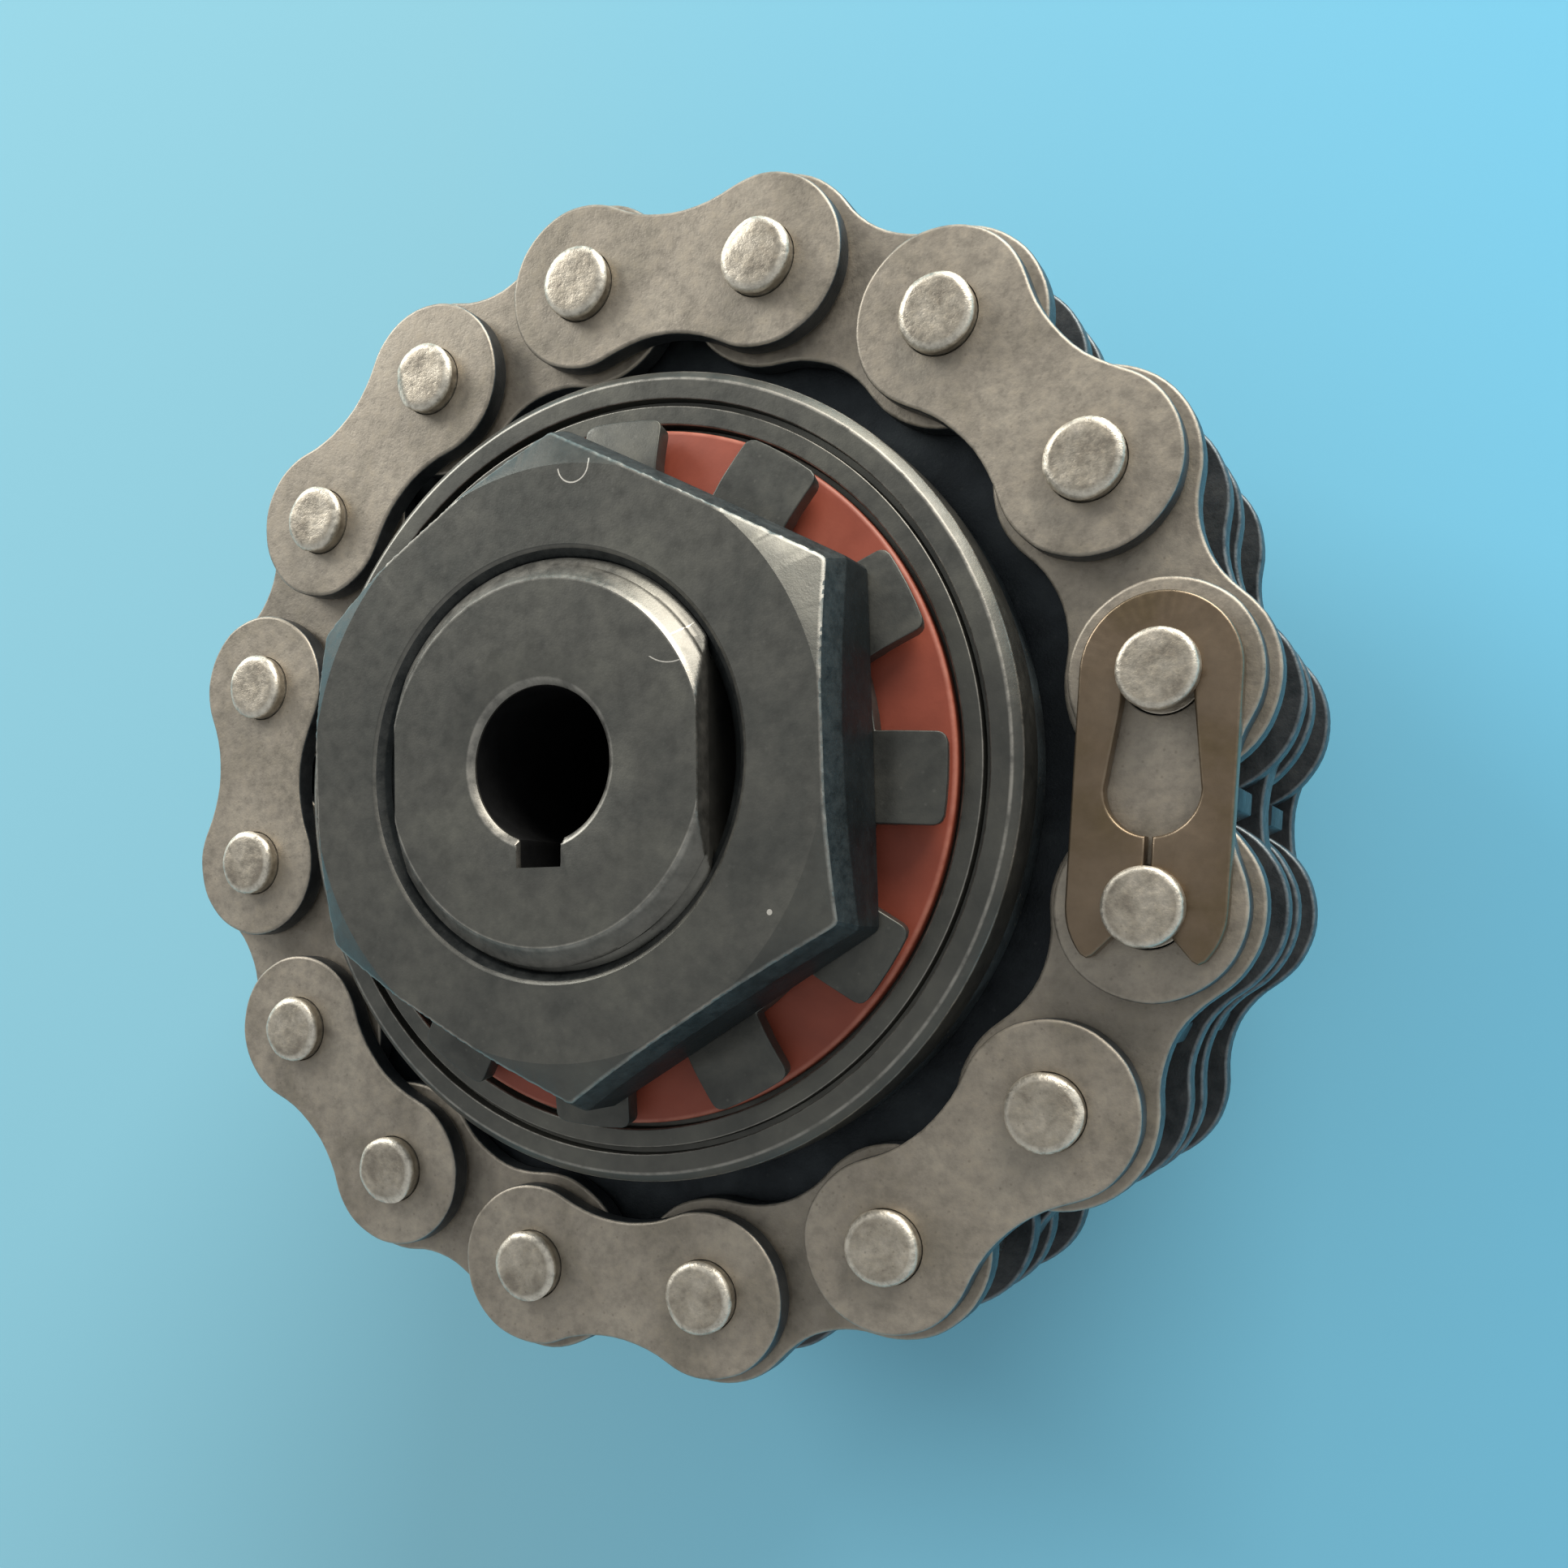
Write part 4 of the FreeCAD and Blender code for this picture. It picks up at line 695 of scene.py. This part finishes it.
hub = {
    "disc": 25.149, "flange": 3.42, "barrel": 12.0, "flat": 10.1, "flatFrom": 40.52,
    "threadFrom": 42.6, "pitch": 1.0, "threadDepth": 0.6, "perTurn": 12,
    "endFace": 10.5, "endBevel": 1.5, "bore": 4.5, "boreBevel": 0.35,
    "keyWide": 3.0, "keyDeep": 1.4, "count": 360, "bevelRings": 12,
    "boreReach": 6.5,     # the bore and its key seat lie within this radius
    "keyReach": 60,       # and the seat within this many degrees of -Y
    "shadeUnder": 0.1,    # painted shade covers the bore from this far under its bevel
}
hubLow, hubTop = levelsOf("hub")
tiny = 1e-4               # keeps a division away from zero


def flatAt(distance, angle):
    # radius at which a flat lies, for the two flats towards +X and -X
    return distance / max(abs(math.cos(angle)), tiny)


def threadRadius(angle, z):
    # right-hand thread of the barrel
    phase = (z / hub["pitch"] - angle / (2 * math.pi)) % 1
    tooth = abs(2 * phase - 1)
    share = min(1, max(0, (tooth - 0.12) / 0.7))
    return hub["barrel"] - hub["threadDepth"] * share


def hubRadius(angle, r, z):
    if r < hub["boreReach"]:               # bore, with its key seat towards -Y
        off = abs((math.degrees(angle) - 270 + 180) % 360 - 180)
        if off < hub["keyReach"]:
            wall = hub["keyWide"] / 2 / max(math.sin(math.radians(off)), tiny)
            floorOut = (hub["bore"] + hub["keyDeep"]) / math.cos(math.radians(off))
            return max(r, min(wall, floorOut))
        return r
    if z > hub["threadFrom"] and r > hub["endFace"] - 0.01:
        r = min(r, threadRadius(angle, z))
    if z > hub["flatFrom"]:
        r = min(r, flatAt(hub["flat"], angle))
    return r


form = Form()
bore, mouth = hub["bore"], hub["bore"] + hub["boreBevel"]
barrel, flangeTop = hub["barrel"], hubLow + hub["flange"]
section = [(mouth, hubLow, 0.6), (mouth + 0.15, hubLow, 0.0)]
section += rounded([(0, hubLow, 0), (hub["disc"], hubLow, 0.5), (hub["disc"], flangeTop, 0.2),
                    (0, flangeTop, 0)])[1:-1]
section += [(barrel + 0.5, flangeTop, 0), (barrel + 0.1, flangeTop + 0.1, 0),
            (barrel, flangeTop + 0.5, 0), (barrel, hub["flatFrom"] - 0.05, 0),
            (barrel, hub["flatFrom"] + 0.02, 0)]
bevelFoot = hubTop - hub["endBevel"]
z = hub["threadFrom"]
while z < bevelFoot - 0.01:
    section.append((barrel, z, 0))
    z += hub["pitch"] / hub["perTurn"]
for i in range(hub["bevelRings"] + 1):     # end bevel, palest beside the face: partly worn, partly painted highlight
    t = i / hub["bevelRings"]
    section.append((barrel + (hub["endFace"] - barrel) * t, bevelFoot + hub["endBevel"] * t,
                    0.35 + 0.65 * (i >= hub["bevelRings"] - 1)))
section += [(hub["endFace"] - 0.12, hubTop, 0.0), (9.0, hubTop, 0), (7.5, hubTop, 0),
            (mouth + 0.12, hubTop, 0), (mouth, hubTop - 0.03, 1.0),
            (bore + 0.02, hubTop - hub["boreBevel"], 0.6),
            (bore, hubTop - hub["boreBevel"] - 0.15, 0), (bore, hubLow + hub["boreBevel"], 0)]
turned(form, section, hub["count"], shape=hubRadius)
turnedHub = makePiece("flangedHub", form, bluedSteel, "hub")
boreTop = hubTop - hub["boreBevel"] - hub["shadeUnder"]
# painted shade: the bore wall below its bevel is coloured almost black
coat(turnedHub, paintedShadeBore,
     lambda at, facing: math.hypot(at.x, at.y) < hub["boreReach"] and at.z < boreTop)
print("hub made")

nut = {
    "apothem": 17.5, "turn": 1.5, "face": 17.15, "coneAngle": 30, "stripIn": 0.57, "stripDown": 1.5,
    "countersink": 12.55, "gap": 0.06, "count": 540, "cornerDrop": 0.0775, "faceMiddle": 15.0,
}
nutLow, nutTop = levelsOf("adjusting_nut")


def hexRadius(angle, apothem):
    off = (math.degrees(angle) - nut["turn"] + 30) % 60 - 30
    flatOut = apothem / math.cos(math.radians(off))
    cornerOut = apothem / math.cos(math.radians(30)) - nut["cornerDrop"]
    return min(flatOut, cornerOut)


def coneDrop(r):
    return max(0.0, r - nut["face"]) * math.tan(math.radians(nut["coneAngle"]))


form = Form()
angles = [2 * math.pi * i / nut["count"] for i in range(nut["count"])]
chance = random.Random(21)
rings = []


def nutRing(radii, levels, wear=0.0):
    rings.append(form.ring([(r * math.cos(a), r * math.sin(a), z)
                            for a, r, z in zip(angles, radii, levels)], wear))


def roundRing(r, z, wear=0.0):
    nutRing([r] * len(angles), [z] * len(angles), wear)


roundRing(nut["countersink"], nutLow)
# the pale edge colour on these rings is partly worn edge and partly painted highlight
for back, down, wear in ((0.25, 0.0, 0.0), (0.07, 0.07, 1.0), (0.0, 0.25, 0.0)):
    nutRing([hexRadius(a, nut["apothem"] - back) for a in angles],
            [nutLow + down] * len(angles), wear)
outer = [hexRadius(a, nut["apothem"]) for a in angles]
nutRing(outer, [nutTop - nut["stripDown"] - 0.1 - coneDrop(r) for r in outer])
nutRing([hexRadius(a, nut["apothem"] - 0.03) for a in angles],
        [nutTop - nut["stripDown"] + 0.1 - coneDrop(r) for r in outer], 0.4)
saw = [chance.uniform(-1, 1) for a in angles]
inner = [hexRadius(a, nut["apothem"] - nut["stripIn"]) for a in angles]
nutRing([r + 0.05 + 0.02 * s for r, s in zip(inner, saw)],
        [nutTop - coneDrop(r) - 0.12 + 0.03 * s for r, s in zip(inner, saw)], 0.5)
nutRing([r - 0.03 + 0.03 * s for r, s in zip(inner, saw)],
        [nutTop - coneDrop(r) - 0.02 for r in inner], 1.0)
inner = [hexRadius(a, nut["apothem"] - nut["stripIn"] - 0.16) for a in angles]
nutRing(inner, [nutTop - coneDrop(r) for r in inner])
nutRing([min(nut["face"], r - 0.05) for r in inner], [nutTop] * len(angles))    # foot of the cone
roundRing(nut["faceMiddle"], nutTop)
roundRing(nut["countersink"] + 0.08, nutTop)
roundRing(nut["countersink"] - 0.02, nutTop - 0.05, 0.3)
z = nutTop - 0.15
while z > nutLow + 0.05:
    depthIn = min(nutTop - z, z - nutLow)
    nutRing([max(hub["barrel"] - hub["threadDepth"] + 0.1, threadRadius(a, z) + nut["gap"],
                 nut["countersink"] - depthIn) for a in angles], [z] * len(angles),
            0.4 if depthIn < 0.5 else 0.0)
    z -= hub["pitch"] / hub["perTurn"]
form.skin(rings, looped=True)
hexagon = makePiece("hexagonNut", form, bluedSteel, "adjusting_nut", sharp=14)
# painted shade on the nut's flats and on the thread in its bore
coat(hexagon, paintedShadeFlats, lambda at, facing: abs(facing.z) < 0.5
     or math.hypot(at.x, at.y) < nut["countersink"] - 0.1)
print("nut made")

washer = {
    "thick": 1.2, "flat": 10.2, "bore": 12.1, "root": 17.549, "tip": 21.549, "bend": 2.9,
    "drop": 0.55, "curl": 1.3, "wide": 5.2, "corner": 0.55, "tabs": 12, "turn": -3.5,
    "edge": 0.16, "steps": 3, "sharp": 40, "rows": 12, "between": 3,
}
washerTop = levelsOf("lock_washer")[1]
form = Form()
halfTab = washer["wide"] / 2
columns = [-halfTab, -halfTab + 0.1, -halfTab + 0.25, -halfTab + 0.55, -1.2, 0,
           1.2, halfTab - 0.55, halfTab - 0.25, halfTab - 0.1, halfTab]
angles = []
for tab in range(washer["tabs"]):
    centre = math.radians(washer["turn"] + 360 / washer["tabs"] * tab)
    angles += [centre + math.asin(x / washer["root"]) for x in columns]
    edgeOff = math.asin(halfTab / washer["root"])
    spare = 2 * math.pi / washer["tabs"] - 2 * edgeOff
    angles += [centre + edgeOff + spare * k / (washer["between"] + 1)
               for k in range(1, washer["between"] + 1)]
perTab = len(columns) + washer["between"]
rings = []
for share in (0, 0.5, 1):
    points = []
    for a in angles:
        keyed = min(washer["bore"], flatAt(washer["flat"], a))
        r = keyed + (washer["root"] - keyed) * share
        points.append((r * math.cos(a), r * math.sin(a), washerTop))
    rings.append(form.ring(points))
form.skin(rings)
for tab in range(washer["tabs"]):
    row = rings[-1][tab * perTab:tab * perTab + len(columns)]
    centre = math.radians(washer["turn"] + 360 / washer["tabs"] * tab)
    out = Vector((math.cos(centre), math.sin(centre)))
    across = Vector((-out.y, out.x))
    for k in range(1, washer["rows"] + 1):
        t = k / washer["rows"]
        points = []
        for x in columns:
            near = max(0, washer["corner"] - (halfTab - abs(x)))
            cut = washer["corner"] - math.sqrt(max(0, washer["corner"] ** 2 - near ** 2))
            start = math.sqrt(washer["root"] ** 2 - x ** 2)
            end = math.sqrt(washer["tip"] ** 2 - x ** 2) - cut
            run = start + (end - start) * t
            reach = math.hypot(run, x)
            bent = max(0, (reach - (washer["tip"] - washer["bend"])) / washer["bend"])
            flat = out * run + across * x
            points.append((flat.x, flat.y, washerTop - washer["drop"] * bent ** washer["curl"]))
        newRow = form.ring(points)
        form.band(row, newRow, closed=False)
        row = newRow
for face in form.mesh.faces:
    face.normal_update()
    if face.normal.z < 0:
        face.normal_flip()
mesh = bpy.data.meshes.new("tabWasher")
form.mesh.to_mesh(mesh)
form.mesh.free()
mesh.polygons.foreach_set("use_smooth", [True] * len(mesh.polygons))
mesh.materials.append(bluedStrip)
piece = bpy.data.objects.new("tabWasher", mesh)
scene.collection.objects.link(piece)
thicken = piece.modifiers.new("thickness", "SOLIDIFY")
thicken.thickness = washer["thick"] * mm
thicken.offset = -1
softenEdges(piece, "stamped edges", washer)
piece.modifiers.new("even shading", "WEIGHTED_NORMAL")
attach(piece, bodyOf["lock_washer"])
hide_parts("lock_washer")
print("tab washer made")

spring = {"outside": 21.449, "bore": 12.35, "thick": 1.1, "edge": 0.3}
springLow, springTop = levelsOf("disc_spring")
form = Form()
turned(form, rounded([
    (spring["outside"], springLow, spring["edge"]),
    (spring["outside"], springLow + spring["thick"], spring["edge"]),
    (spring["bore"], springTop, spring["edge"]),
    (spring["bore"], springTop - spring["thick"], spring["edge"])], 4), 192)
# the disc spring, with its placement baked into its mesh
makePiece("discSpring", form, redOxide, "disc_spring",
          bend=(bodyOf["lock_washer"], (0, 0, springLow * mm), (0, 0, springTop * mm)))

plate = {
    "disc": 25.149, "bevel": 0.55, "rim": 1.8, "groove": 0.4, "grooveDeep": 0.9, "land": 1.15,
    "landDrop": 0.12, "seatDeep": 1.2, "flat": 10.2, "bore": 12.1,
    "flatReach": 12.5,    # only the bore has flats
}
plateLow, plateTop = levelsOf("pressure_plate")


def plateRadius(angle, r, z):
    return min(r, flatAt(plate["flat"], angle)) if r < plate["flatReach"] else r


grooveOut = plate["disc"] - plate["rim"]
grooveIn = grooveOut - plate["groove"]
seatOut = grooveIn - plate["land"]
form = Form()
turned(form, rounded([
    (plate["bore"], plateLow, 0), (plate["disc"], plateLow, 0.2),
    (plate["disc"], plateTop - plate["bevel"], 0.12),
    (plate["disc"] - plate["bevel"], plateTop, 0.15),
    (grooveOut, plateTop, 0.12), (grooveOut, plateTop - plate["grooveDeep"], 0.05),
    (grooveIn, plateTop - plate["grooveDeep"], 0.05), (grooveIn, plateTop - plate["landDrop"], 0.1),
    (seatOut, plateTop - plate["landDrop"], 0.15), (seatOut, plateTop - plate["seatDeep"], 0.1),
    (plate["bore"], plateTop - plate["seatDeep"], 0)]), 192, shape=plateRadius)
makePiece("pressurePlate", form, bluedSteel, "pressure_plate")

facing = {"outside": 24.949, "bore": 15.55, "edge": 0.12}
for name, node in (("rearFacing", "rear_facing"), ("frontFacing", "front_facing")):
    low, high = levelsOf(node)
    form = Form()
    turned(form, rounded([
        (facing["bore"], low, facing["edge"]), (facing["outside"], low, facing["edge"]),
        (facing["outside"], high, facing["edge"]), (facing["bore"], high, facing["edge"])]), 160)
    makePiece(name, form, pressedLining, node)
print("friction stack made")

# these four are seen as the solids they are, with their edges broken
plain = {"weld": 0.002, "edge": 0.2, "steps": 2, "sharp": 30}
for node, material in (("coupling_sprocket", blackSteel), ("driven_sprocket", blackSteel),
                       ("hub_bush", sinteredBronze), ("set_screws", bluedSteel)):
    solid = frame["nodes"][node]
    solid.data.materials.clear()
    solid.data.materials.append(material)
    weld = solid.modifiers.new("weld", "WELD")
    weld.merge_threshold = plain["weld"] * mm
    softenEdges(solid, "broken edges", plain)
